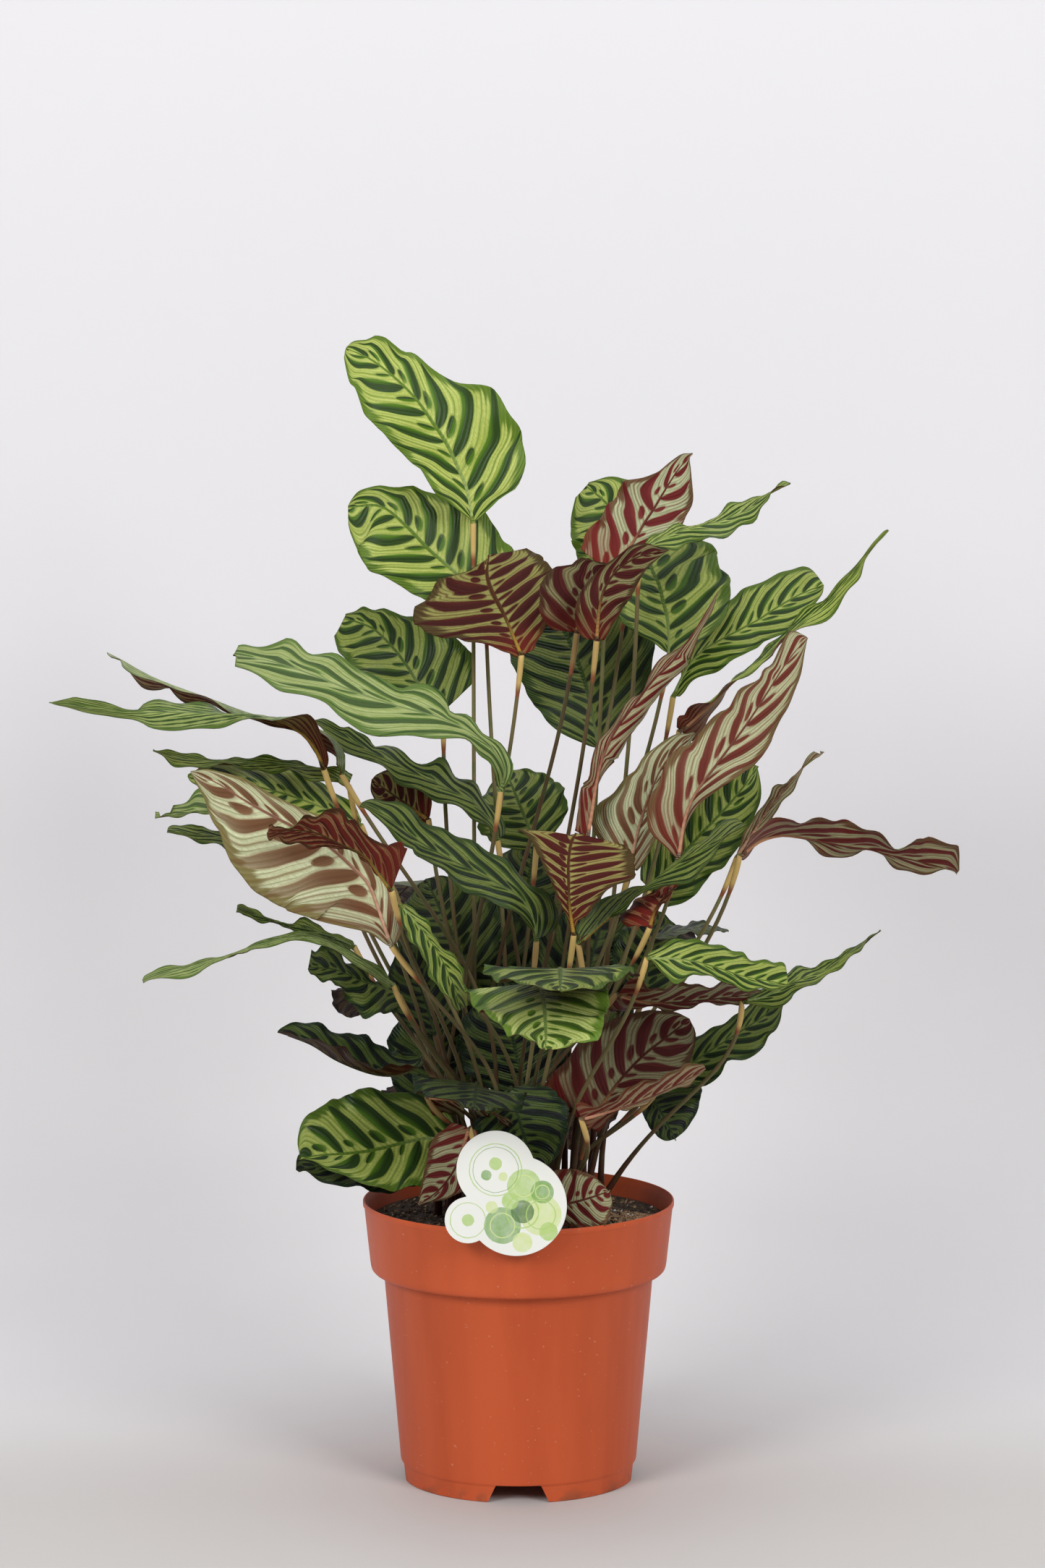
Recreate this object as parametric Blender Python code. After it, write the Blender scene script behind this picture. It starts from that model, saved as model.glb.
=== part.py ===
"""A potted peacock plant: a nursery pot filled with soil, a plant label on a stake, and leaves that
each grew as one piece, a stalk with a swollen joint at its top and a blade.

Lengths in this script are millimetres, and each mesh is scaled to metres as it is made. The pot
stands on z = 0 around the z axis, and the front of the plant faces -Y.
"""

import math

import bpy
from mathutils import Matrix, Vector
from mathutils.bvhtree import BVHTree

MM = 0.001
GAP = 0.3  # between pieces that touch

# The pot, a 21 cm nursery pot
POT_HEIGHT = 190.0
RIM_RADIUS = 105.0
BAND_FOOT_RADIUS = 99.5  # lower end of the thick band below the rim
BAND_BOTTOM = 142.0
BODY_TOP_RADIUS = 91.0
BASE_RADIUS = 78.5
WALL = 2.6
FLOOR_UNDERSIDE = 13.0
FLOOR_TOP = 15.5
POT_SIDES = 32
NOTCH_HEIGHT = 12.0
NOTCH_TOP_WIDTH = 30.0
NOTCH_BOTTOM_WIDTH = 41.0
NOTCH_COUNT = 4
DRAIN_RADIUS = 6.0
DRAIN_RING_RADIUS = 48.0
DRAIN_COUNT = 6

# The soil
SOIL_TOP = 177.0
SOIL_SIDES = 20
MOUND_HEIGHT = 9.0
MOUND_X = 76.0
MOUND_Y = -28.0
MOUND_SPREAD = 17.0
ROOT_DEPTH = 14.0  # how far a stalk reaches into the soil
HOLE_SIDES = 5

# The stalks
SHEATH_RADIUS = 2.9  # at the soil
INNER_RADIUS = 1.7  # of a stalk that starts inside another leaf's sheath
INNER_RAISE = 5.0
STALK_RADIUS = 1.9
JOINT_RADIUS = 2.1  # the swollen joint below the blade
BLADE_FOOT_RADIUS = 1.5
JOINT_LENGTH = 26.0
STALK_SIDES = 4
ROOT_SPACING = 7.6  # scale of the spiral of places where stalks leave the soil
ROOT_PULL = 0.34  # how far out a stalk leaves the soil, as a share of where its blade starts

# The blades
BLADE_THICKNESS = 0.9
RIB_DROP = 0.7  # how far the midrib stands out of the underside
LONG_STATIONS = (0.04, 0.14, 0.28, 0.44, 0.60, 0.76, 0.90, 1.0)  # places along a blade with a ring
SHORT_STATIONS = (0.05, 0.20, 0.42, 0.64, 0.85, 1.0)
SHORT_BLADE = 112.0  # a blade below this length has the short list
BLADE_STRIPS = 4
TIP_HALF_WIDTH = 0.8
BLUNTNESS = 0.6  # the smaller, the blunter a blade's ends
RIPPLES = 2.3  # waves along one edge of a blade
CLEARANCE = 0.45  # kept between leaves

# The place from which the leaves were read: x and z of a leaf are those that this eye sees on the
# plane y = 0, and its real place is on the same line of sight at the leaf's own y
EYE_X = 2.7
EYE_HEIGHT = 860.0
EYE_DISTANCE = 3300.0
READING_LIFT = 1.5  # the leaves were read this much too low

# The label
LABEL_THICKNESS = 0.8
LABEL_Y = -110.5
LABEL_TILT = math.radians(4)
LABEL_DISCS = ((-1.5, 183.5, 33.0), (-15.0, 207.0, 25.6), (-33.0, 174.0, 15.2))  # x, z, radius
LABEL_SIDES = 48
STAKE_WIDTH = 8.0
STAKE_X = -3.0
STAKE_TOP = 197.0
STAKE_INSIDE_Y = -94.5
STAKE_BOTTOM = 158.0

GREEN = (0.16, 0.33, 0.06)
TERRACOTTA = (0.62, 0.17, 0.07)
PEAT = (0.07, 0.045, 0.03)
CARD = (0.86, 0.86, 0.80)


def leaf(name, base, tip, width, roll=0, arch=(0, 0), sway=(0, 0), curl=(0, 0), **more):
    """One leaf. base and tip are (x, z, y) as seen. roll is 0 where the upper face looks at the eye,
    and it turns that face to the right of the blade as it grows; None is face up. arch and sway are
    how far the midrib leaves the straight line, along the upper face's normal and to its right:
    once in the middle, and once as an S. fold and curl raise the halves of the blade towards its
    upper face. widest is where the blade is widest, and stem_of names the leaf whose sheath this
    one grows from."""
    return {
        "name": name,
        "base": base,
        "tip": tip,
        "width": width,
        "roll": roll,
        "arch": arch,
        "sway": sway,
        "curl": (math.radians(curl[0]), math.radians(curl[1])),
        "fold": math.radians(more.get("fold", 0)),
        "twist": math.radians(more.get("twist", 0)),
        "wave": more.get("wave", 2),
        "skew": more.get("skew", 0),
        "widest": more.get("widest", 0.43),
        "stem_of": more.get("stem_of"),
    }


LEAVES = [
    # The fan in the middle
    leaf("front_fan", (37, 368, -118), (30, 440, -70), 90, 180, (-14, 0), skew=-0.1, widest=0.68),
    # Low down
    leaf("label_left", (-33, 237, -75), (-68, 185, -75), 48, 180, (4, 0)),
    leaf("low_left", (-40, 227, -55), (-148, 215, -105), 72, 26, (8, 0), (4, 0), wave=2.5, skew=0.1),
    leaf("low_left_back", (-58, 206, -25), (-150, 208, -60), 54, 38, (8, 0), wave=3, stem_of="low_left"),
    leaf("label_right", (18, 180, -80), (62, 194, -93), 46, 180, (-3, 0), wave=1.5),
    leaf("front_low", (-28, 267, -75), (-30, 249, -165), 74, 0, (5, 0), wave=3),
    leaf("low_burgundy", (-62, 258, -60), (-4, 240, -75), 40, -118, (4, 0)),
    leaf("low_right_red", (46, 238, -60), (110, 312, -35), 90, 180, (-6, 0), (-4, 0), (0, -20)),
    leaf("low_right_flap", (50, 244, -115), (126, 277, -115), 50, -128, (-4, 0), wave=2.5),
    leaf("low_right_green", (95, 265, -20), (177, 322, -10), 58, -32, (6, 0), wave=3),
    leaf("low_right_small", (86, 262, 10), (106, 228, -10), 44, -8, (6, 0), stem_of="low_right_green"),
    leaf("low_middle", (-8, 264, -35), (27, 210, -55), 50, 10, (6, 0)),
    # The front, and the large ones behind it
    leaf("right_rolled", (46, 433, -45), (128, 594, -30), 40, 180, (0, 0), (15, 5), (130, 130)),
    leaf("right_pale", (74, 412, -35), (118, 506, -15), 62, 180, (-6, 0), (4, 0), (15, 15), skew=0.1),
    leaf("right_red", (107, 418, -65), (190, 568, -50), 50, 180, (-4, 0), (9, 0), (15, 15), skew=-0.15),
    leaf("left_pale", (-85, 360, -120), (-218, 477, -115), 94, 180, (0, 0), (-20, -3), (80, 5),
         skew=0.15),
    leaf("left_red", (-85, 398, -150), (-167, 436, -145), 56, 135, (20, 0), wave=3),
    leaf("left_long_thin", (-130, 480, -70), (-312, 526, -105), 40, 88, (30, 9), wave=3, fold=-12),
    leaf("left_high_thin", (-118, 476, -30), (-272, 557, -10), 50, 90, (6, 14), wave=3, twist=90),
    leaf("left_edge", (-113, 468, -30), (-243, 491, -30), 54, 84, (5, 4), wave=3, twist=20),
    leaf("front_right_thin", (40, 362, -90), (153, 443, -80), 44, -68, (6, 0), wave=2),
    leaf("front_small_red", (77, 368, -85), (106, 402, -55), 34, 170, (0, 0), (4, 0), (70, 60)),
    leaf("right_light", (82, 345, -115), (183, 338, -110), 50, -60, (8, 0), wave=3),
    leaf("right_low_long", (150, 323, -65), (242, 369, -60), 32, -66, (-4, 2), wave=2, twist=-40),
    leaf("right_burgundy", (66, 328, -60), (163, 329, -60), 58, -112, (4, 0), wave=2.5),
    leaf("right_small_tip", (90, 366, 10), (141, 371, 10), 34, -84, (4, 0)),
    leaf("front_face", (14, 336, -120), (13, 288, -230), 96, 0, (6, 0), wave=3),
    leaf("front_flat", (28, 345, -95), (28, 330, -205), 98, 0, (5, 0), wave=3),
    leaf("front_drooping", (-79, 388, -120), (-38, 318, -130), 44, -60, (6, 0)),
    leaf("left_wavy", (-80, 327, -60), (-141, 346, -70), 56, 42, (8, 0), wave=4),
    leaf("left_small_thin", (-110, 360, -60), (-189, 382, -60), 34, 84, (2, 6)),
    leaf("left_low_thin", (-84, 334, -85), (-252, 336, -100), 26, 80, (16, 5)),
    leaf("left_purple", (-65, 285, -80), (-162, 302, -95), 56, 82, (6, 2), fold=30, wave=3),
    # The crown, left side
    leaf("crown_high", (-30, 644, 60), (-114, 760, 90), 80, 0, (8, 0), (18, 3),
         wave=2.5, skew=0.12, widest=0.36),
    leaf("crown_second", (-22, 588, 70), (-113, 655, 95), 82, 10, (6, 0), (8, 0), wave=2.5, widest=0.4),
    leaf("crown_middle", (2, 556, -20), (-24, 622, 65), 94, 180, (-12, 0), (4, 0),
         skew=0.15, widest=0.47),
    leaf("crown_fourth", (-50, 518, 50), (-116, 581, 115), 74, 0, (6, 0), (8, 0), wave=2.5),
    # The crown, right side
    leaf("crown_back_right", (72, 600, 95), (64, 673, 120), 66, 0, (6, 0)),
    leaf("crown_red", (58, 612, 15), (114, 689, 45), 52, 180, (4, 0), wave=3, widest=0.36),
    leaf("crown_thin_right", (80, 625, 5), (180, 667, 20), 42, -74, (-6, -3), wave=3),
    leaf("crown_low_b", (52, 566, -45), (98, 625, -25), 46, 180, (-4, 0), (5, 0), wave=3),
    leaf("crown_low_a", (39, 571, -25), (58, 618, 10), 50, 180, (-6, 0), (6, 0), wave=3, skew=0.15),
    leaf("right_upper", (100, 554, 55), (82, 645, 125), 82, 0, (6, 0), (6, 0),
         wave=2.5, stem_of="crown_back_right"),
    leaf("right_far", (103, 528, 45), (203, 606, 80), 58, -25, (8, 0), wave=3),
    leaf("right_twisted", (107, 505, 0), (245, 638, 0), 38, -86, (0, 4), (0, 0), (40, 40),
         wave=3, twist=40),
    leaf("centre_back", (53, 494, 75), (12, 600, 145), 94, 0, (6, 0), (8, 0),
         wave=2.5, stem_of="crown_second"),
    leaf("right_green", (88, 398, 15), (160, 482, 30), 68, -20, (8, 0), wave=2.5),
    leaf("right_pink_thin", (146, 420, -15), (200, 491, 0), 28, -240, (0, 3), (0, 0), (60, 60), wave=2),
    leaf("right_long", (148, 421, -45), (294, 422, 0), 40, -125, (17, 6), wave=4, widest=0.6),
    # The left side
    leaf("left_light", (-12, 465, -65), (-190, 556, -55), 66, 60, (26, 2), (0, 0), (-25, 10),
         wave=3, widest=0.5),
    leaf("left_dark", (-14, 432, 5), (-141, 514, 5), 60, 65, (8, 2), (0, 0), (-20, 0), wave=3),
    leaf("front_left", (12, 364, -100), (-105, 457, -95), 64, 60, (9, 2), (0, 0), (-20, 10), wave=2.5),
    leaf("left_green_a", (-105, 442, -35), (-221, 475, -50), 58, 55, (8, 0), wave=3),
    leaf("left_green_b", (-125, 438, 15), (-243, 447, 10), 50, 60, (12, 0), wave=3),
    leaf("left_green_c", (-118, 412, 45), (-235, 438, 40), 46, 60, (6, 0),
         wave=3, stem_of="left_green_b"),
    leaf("left_olive", (-60, 446, 35), (-98, 473, 60), 44, 160, stem_of="crown_fourth"),
    # The dark middle
    leaf("middle_dark", (-32, 342, 30), (-62, 406, 75), 74, 0, (6, 0)),
    leaf("middle_left", (-56, 300, -10), (-76, 362, 10), 46, 10, (4, 0), stem_of="middle_dark"),
    leaf("middle_high", (12, 428, 60), (-8, 478, 105), 64, 0, (6, 0)),
    leaf("middle_a", (-10, 305, 20), (-30, 392, 60), 80, 0, (8, 0), stem_of="middle_high"),
    leaf("middle_b", (34, 300, 45), (60, 392, 85), 82, 0, (8, 0)),
    leaf("middle_c", (0, 350, 75), (10, 430, 115), 80, 0, (8, 0), stem_of="middle_b"),
    leaf("middle_d", (4, 262, 20), (-6, 326, 40), 58, 0, (8, 0), stem_of="low_middle"),
    leaf("middle_e", (-52, 246, 5), (-62, 312, 35), 60, 0, (6, 0), stem_of="middle_dark"),
    leaf("middle_f", (84, 326, 35), (92, 385, 60), 50, 0, (6, 0), stem_of="right_small_tip"),
    # The back
    leaf("back_a", (-50, 400, 110), (-88, 380, 200), 80, None, (14, 0)),
    leaf("back_b", (22, 405, 120), (40, 392, 215), 84, None, (14, 0)),
    leaf("back_c", (64, 372, 100), (104, 352, 180), 72, None, (12, 0), stem_of="back_b"),
    leaf("back_d", (-70, 335, 85), (-112, 312, 160), 70, None, (12, 0), stem_of="back_a"),
    leaf("back_e", (0, 335, 110), (-12, 308, 205), 82, None, (14, 0)),
    leaf("back_f", (56, 296, 95), (92, 268, 175), 72, None, (12, 0), stem_of="back_e"),
    leaf("back_g", (-40, 270, 80), (-74, 240, 160), 70, None, (12, 0)),
    leaf("back_h", (20, 255, 90), (30, 222, 175), 74, None, (12, 0), stem_of="back_g"),
]


SHARED = {row["name"]: row["stem_of"] for row in LEAVES if row["stem_of"]}


def place(seen):
    x, z, y = seen
    reach = 1 + y / EYE_DISTANCE
    return Vector((EYE_X + (x - EYE_X) * reach, y, EYE_HEIGHT + (z + READING_LIFT - EYE_HEIGHT) * reach))


def outline(row, u):
    """Half width of a blade at u of its length, as a share of its greatest half width."""
    stretch = math.log(0.5) / math.log(row["widest"])
    return max(math.sin(math.pi * min(u, 1.0) ** stretch), 0.0) ** BLUNTNESS


def stations(row):
    length = math.dist(row["base"], row["tip"])
    return SHORT_STATIONS if length < SHORT_BLADE else LONG_STATIONS


def blade_axes(row, shift=(0, 0, 0)):
    """Where the blade starts, its straight line, and its directions up and to the right."""
    base_x, base_z, base_y = row["base"]
    tip_x, tip_z, tip_y = row["tip"]
    x, z, y = shift
    base = place((base_x + x, base_z + z, base_y + y))
    chord = place((tip_x + x, tip_z + z, tip_y + y)) - base
    axis = chord.normalized()
    to_eye = (Vector((EYE_X, -EYE_DISTANCE, EYE_HEIGHT)) - base).normalized()
    seen_right = Vector((tip_z - base_z, 0, base_x - tip_x)).normalized()
    normal = Vector((0, 0, 1))
    if row["roll"] is not None:
        roll = math.radians(row["roll"])
        normal = math.cos(roll) * to_eye + math.sin(roll) * seen_right
    normal = (normal - axis * normal.dot(axis)).normalized()
    return base, chord, normal, axis.cross(normal)


def midrib(row, axes, u):
    base, chord, normal, right = axes
    once = math.sin(math.pi * u)
    twice = math.sin(2 * math.pi * u)
    arch = row["arch"][0] * once + row["arch"][1] * twice
    sway = row["sway"][0] * once + row["sway"][1] * twice
    return base + chord * u + normal * arch + right * sway


def blade_frame(row, axes, u):
    """The midrib's point at u, with the directions forwards, up and to the right there."""
    step = 0.01
    forward = (midrib(row, axes, u + step) - midrib(row, axes, u - step)).normalized()
    up = (axes[2] - forward * axes[2].dot(forward)).normalized()
    up.rotate(Matrix.Rotation(row["twist"] * (u - 0.5), 3, forward))
    return midrib(row, axes, u), forward, up, forward.cross(up)


def blade_point(row, frame, u, across, lift):
    """A point of the blade: across runs from -1 at the left edge to 1 at the right edge, and lift is
    how far it lies above the middle of the sheet."""
    centre, _, up, right = frame
    side = -1 if across < 0 else 1
    widest = row["width"] / 2
    half = max(widest * outline(row, u) * (1 + side * row["skew"]), TIP_HALF_WIDTH)
    distance = abs(across) * half
    bend = row["curl"][(side + 1) // 2] / widest
    start = row["fold"]
    end = start + bend * distance
    if abs(bend) < 1e-6:
        out, rise = distance * math.cos(start), distance * math.sin(start)
    else:
        out = (math.sin(end) - math.sin(start)) / bend
        rise = (math.cos(start) - math.cos(end)) / bend
    outward = right * side
    face = up * math.cos(end) - outward * math.sin(end)
    ripple = row["wave"] * across**2 * outline(row, u) * math.sin(2 * math.pi * (RIPPLES * u + 0.22 * side))
    return centre + outward * out + up * rise + face * (lift + ripple)


def blade_ring(row, frame, u, thickness):
    """The cross-section at u: the upper face from left to right, then the underside back."""
    shares = [2 * i / BLADE_STRIPS - 1 for i in range(BLADE_STRIPS + 1)]
    top = [blade_point(row, frame, u, share, thickness / 2) for share in shares]
    rib = [RIB_DROP * (share == 0) for share in shares]
    under = [blade_point(row, frame, u, s, -thickness / 2 - r) for s, r in zip(shares, rib)]
    return top + under[::-1]


def stalk_ring(centre, up, right, radius):
    turns = [math.pi * (1 - 2 * i / STALK_SIDES) for i in range(STALK_SIDES)]
    return [centre + (right * math.cos(a) + up * math.sin(a)) * radius for a in turns]


def stalk_path(row, axes, root, bend):
    """Points from the root to the blade, as a curve that leaves the soil upright. A stalk that grows
    from another leaf's sheath starts inside it."""
    inside = row["stem_of"] is not None
    foot = Vector((root[0], root[1], SOIL_TOP - ROOT_DEPTH + INNER_RAISE * inside))
    collar = Vector((root[0], root[1], SOIL_TOP + 4))
    end = axes[0]
    reach = end - collar
    first = collar + Vector((0, 0, 0.45 * reach.length)) + Vector((bend[0], bend[1], 0))
    joint_up = (reach.normalized() + Vector((0, 0, 0.35))).normalized()
    second = end - joint_up * (0.35 * reach.length) + Vector((bend[0], bend[1], 0)) * 0.6
    pieces = max(3, round(reach.length / 85))
    joint_start = max(0.5, 1 - JOINT_LENGTH / reach.length)
    shares = [joint_start * i / pieces for i in range(pieces + 1)]
    shares += [(1 + joint_start) / 2, 1 - 2.5 / reach.length]
    points = [foot]
    for t in shares:
        s = 1 - t
        points.append(s**3 * collar + 3 * s * s * t * first + 3 * s * t * t * second + t**3 * end)
    sheath = INNER_RADIUS if inside else SHEATH_RADIUS
    radii = [sheath, sheath]
    radii += [STALK_RADIUS] * (pieces - 1)
    radii += [STALK_RADIUS, JOINT_RADIUS, BLADE_FOOT_RADIUS]
    return points, radii


def stalk_rings(row, axes, root, bend, extra):
    points, radii = stalk_path(row, axes, root, bend)
    _, forward, up, _ = blade_frame(row, axes, 0.02)
    rings = []
    ahead = forward
    for index in range(len(points) - 1, -1, -1):
        low = points[max(index - 1, 0)]
        high = points[min(index + 1, len(points) - 1)]
        along = (high - low).normalized()
        if index == len(points) - 1:
            along = (along + forward).normalized()
        if index == 0:
            along = Vector((0, 0, 1))
        up = ahead.rotation_difference(along) @ up
        up = (up - along * up.dot(along)).normalized()
        rings.append(stalk_ring(points[index], up, along.cross(up), radii[index] + extra))
        ahead = along
    return rings[::-1]


def bridge(faces, first, first_count, second, second_count):
    """Triangles between two rings of unlike counts that start at the same side."""
    i = j = 0
    while i < first_count or j < second_count:
        a = first + i % first_count
        b = second + j % second_count
        if j >= second_count or (i < first_count and (i + 1) * second_count <= (j + 1) * first_count):
            faces.append((a, first + (i + 1) % first_count, b))
            i += 1
        else:
            faces.append((a, second + (j + 1) % second_count, b))
            j += 1


def stalk_mesh(row, axes, root, bend, extra=0.0):
    rings = stalk_rings(row, axes, root, bend, extra)
    points = [p for ring in rings for p in ring]
    faces = [tuple(range(STALK_SIDES - 1, -1, -1))]
    for index in range(len(rings) - 1):
        start = index * STALK_SIDES
        for i in range(STALK_SIDES):
            j = (i + 1) % STALK_SIDES
            a, b = start + i, start + j
            faces += [(a, b, b + STALK_SIDES), (a, b + STALK_SIDES, a + STALK_SIDES)]
    return points, faces


def blade_mesh(row, axes, extra=0.0):
    """The blade alone, open at its foot. Both faces are split into triangles alike."""
    fat = dict(row, width=row["width"] + 2 * extra)
    count = 2 * (BLADE_STRIPS + 1)
    points = []
    for u in stations(row):
        frame = blade_frame(row, axes, u)
        points += blade_ring(fat, frame, u, BLADE_THICKNESS + 2 * extra)
    faces = []
    for station in range(len(stations(row)) - 1):
        start = station * count
        for i in range(count):
            a, b = start + i, start + (i + 1) % count
            if i <= BLADE_STRIPS:
                faces += [(a, b, b + count), (a, b + count, a + count)]
            else:
                faces += [(a, b, a + count), (b, b + count, a + count)]
    last = (len(stations(row)) - 1) * count
    for j in range(BLADE_STRIPS):
        a, b, c, d = last + j, last + j + 1, last + count - 2 - j, last + count - 1 - j
        faces += [(a, b, c), (a, c, d)]
    return points, faces


def leaf_mesh(row, axes, root, bend, extra=0.0):
    stalk_points, stalk_faces = stalk_mesh(row, axes, root, bend, extra)
    blade_points, blade_faces = blade_mesh(row, axes, extra)
    offset = len(stalk_points)
    faces = stalk_faces + [tuple(i + offset for i in face) for face in blade_faces]
    bridge(faces, offset - STALK_SIDES, STALK_SIDES, offset, 2 * (BLADE_STRIPS + 1))
    return stalk_points + blade_points, faces


def tree_of(points, faces):
    return BVHTree.FromPolygons([tuple(p) for p in points], faces, epsilon=0.0)


def root_places():
    """Places where stalks leave the soil, on a spiral like the heart of a sunflower."""
    golden = math.pi * (3 - math.sqrt(5))
    places = []
    for k in range(sum(row["stem_of"] is None for row in LEAVES)):
        radius = ROOT_SPACING * math.sqrt(k + 0.5)
        places.append((radius * math.cos(k * golden), radius * math.sin(k * golden)))
    return places


def shared_roots():
    """Each sheath's root: the free place nearest to a spot below its blade, outer blades first."""
    free = root_places()
    sheaths = [row for row in LEAVES if row["stem_of"] is None]
    sheaths.sort(key=lambda row: -math.hypot(row["base"][0], row["base"][2]))
    roots = {}
    for row in sheaths:
        wanted = ROOT_PULL * row["base"][0], ROOT_PULL * row["base"][2]
        nearest = min(free, key=lambda p: math.dist(p, wanted))
        free.remove(nearest)
        roots[row["name"]] = nearest
    return roots


def shifts():
    """Where a blade may be set to clear the leaves before it, as (x, z, y): mostly along the line of
    sight, and a little sideways."""
    seen = [(0, 0), (3, 0), (-3, 0), (0, 3), (0, -3), (6, 0), (-6, 0), (0, 6), (0, -6)]
    slides = [0, 8, -8, 16, -16, 24, -24, 34, -34, 44, -44, 56, -56]
    places = [(x, z, y) for x, z in seen for y in slides]
    return sorted(places, key=lambda p: 5 * (abs(p[0]) + abs(p[1])) + abs(p[2]))


def bends():
    """How far a stalk may be pushed aside to clear the leaves before it."""
    turns = [k * math.pi / 4 for k in range(8)]
    return [(0, 0)] + [(r * math.cos(t), r * math.sin(t)) for r in (14, 28, 44, 62) for t in turns]


def touches(points, faces, trees):
    tree = tree_of(points, faces)
    return any(tree.overlap(other) for other in trees)


def settle(row, root, trees, own, walls):
    """The first shift and bend that keep a leaf clear of what is already there. trees are the other
    leaves, own is the leaf that it grows from, and walls are what only the blade could meet."""
    for shift in shifts():
        axes = blade_axes(row, shift)
        blade = blade_mesh(row, axes, CLEARANCE)
        if touches(*blade, trees + own + walls) or min(p.z for p in blade[0]) < SOIL_TOP:
            continue
        thin = tree_of(*blade_mesh(row, axes))
        for bend in bends():
            stalk = stalk_mesh(row, axes, root, bend, CLEARANCE)
            if touches(*stalk, trees + walls[1:]):
                continue
            rest = stalk[0][: -2 * STALK_SIDES], stalk[1][: -4 * STALK_SIDES]
            if tree_of(*rest).overlap(thin):
                continue
            if not touches(*leaf_mesh(row, axes, root, bend, CLEARANCE), trees + walls[1:]):
                return axes, bend, shift
    return None


def new_object(name, points, faces, colour, roughness, metallic=0.0):
    mesh = bpy.data.meshes.new(name)
    mesh.from_pydata([tuple(p) for p in points], [], [tuple(f) for f in faces])
    mesh.transform(Matrix.Scale(MM, 4))
    mesh.update()
    piece = bpy.data.objects.new(name, mesh)
    bpy.context.collection.objects.link(piece)
    material = bpy.data.materials.get(name.split("_")[0]) or bpy.data.materials.new(name.split("_")[0])
    material.use_nodes = True
    shader = material.node_tree.nodes["Principled BSDF"]
    shader.inputs["Base Color"].default_value = (*colour, 1)
    shader.inputs["Roughness"].default_value = roughness
    shader.inputs["Metallic"].default_value = metallic
    mesh.materials.append(material)
    return piece


def lathe(profile, sides):
    """Points and faces of a closed turned solid. The profile runs from the axis at its underside, out,
    up and back to the axis."""
    points = []
    rings = []
    for radius, z in profile:
        if radius == 0:
            rings.append([len(points)] * sides)
            points.append(Vector((0, 0, z)))
            continue
        rings.append([len(points) + i for i in range(sides)])
        for i in range(sides):
            turn = 2 * math.pi * i / sides
            points.append(Vector((radius * math.cos(turn), radius * math.sin(turn), z)))
    faces = []
    for low, high in zip(rings, rings[1:]):
        for i in range(sides):
            j = (i + 1) % sides
            face = [low[i], low[j], high[j], high[i]]
            face = [v for k, v in enumerate(face) if v != face[k - 1]]
            faces.append(tuple(face))
    return points, faces


def cut(target, cutter):
    """A Boolean cut, applied, after which the cutter is gone."""
    modifier = target.modifiers.new("cut", "BOOLEAN")
    modifier.operation = "DIFFERENCE"
    modifier.solver = "EXACT"
    modifier.object = cutter
    apply_modifier(target)
    bpy.data.objects.remove(cutter)


def apply_modifier(target):
    graph = bpy.context.evaluated_depsgraph_get()
    made = bpy.data.meshes.new_from_object(target.evaluated_get(graph))
    target.modifiers.clear()
    target.data = made


def pot_profile():
    """Half a section through the pot, in (radius, z)."""
    inner_band = BAND_FOOT_RADIUS - WALL
    inner_body = BODY_TOP_RADIUS - WALL
    return [
        (0, FLOOR_UNDERSIDE),
        (BASE_RADIUS - WALL, FLOOR_UNDERSIDE),
        (BASE_RADIUS - WALL - 0.6, 0),
        (BASE_RADIUS - 0.8, 0),
        (BASE_RADIUS, 1.2),
        (BASE_RADIUS + 0.4, 11.5),
        (BASE_RADIUS + 1.3, 13.0),
        (BODY_TOP_RADIUS, BAND_BOTTOM - 0.5),
        (BAND_FOOT_RADIUS - 2.6, BAND_BOTTOM),
        (BAND_FOOT_RADIUS - 0.5, BAND_BOTTOM + 1.6),
        (BAND_FOOT_RADIUS + 0.4, BAND_BOTTOM + 5),
        (RIM_RADIUS - 1.0, POT_HEIGHT - 4.5),
        (RIM_RADIUS, POT_HEIGHT - 2.6),
        (RIM_RADIUS - 0.3, POT_HEIGHT - 0.6),
        (RIM_RADIUS - 1.4, POT_HEIGHT),
        (RIM_RADIUS - 2.8, POT_HEIGHT - 0.8),
        (RIM_RADIUS - WALL - 1.2, POT_HEIGHT - 5),
        (inner_band, BAND_BOTTOM + 6),
        (inner_band - 1.5, BAND_BOTTOM + 3.2),
        (inner_body, BAND_BOTTOM),
        (BASE_RADIUS - WALL + 1.4, FLOOR_TOP + 2),
        (BASE_RADIUS - WALL - 0.6, FLOOR_TOP),
        (0, FLOOR_TOP),
    ]


def prism(corners, depth, turn):
    """A solid whose section (x, z) runs from the axis out along -Y, turned about the z axis."""
    count = len(corners)
    points = [Vector((x, -40, z)) for x, z in corners] + [Vector((x, -40 - depth, z)) for x, z in corners]
    faces = [tuple(range(count - 1, -1, -1)), tuple(range(count, 2 * count))]
    faces += [(i, (i + 1) % count, count + (i + 1) % count, count + i) for i in range(count)]
    spin = Matrix.Rotation(turn, 3, "Z")
    return [spin @ p for p in points], faces


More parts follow.
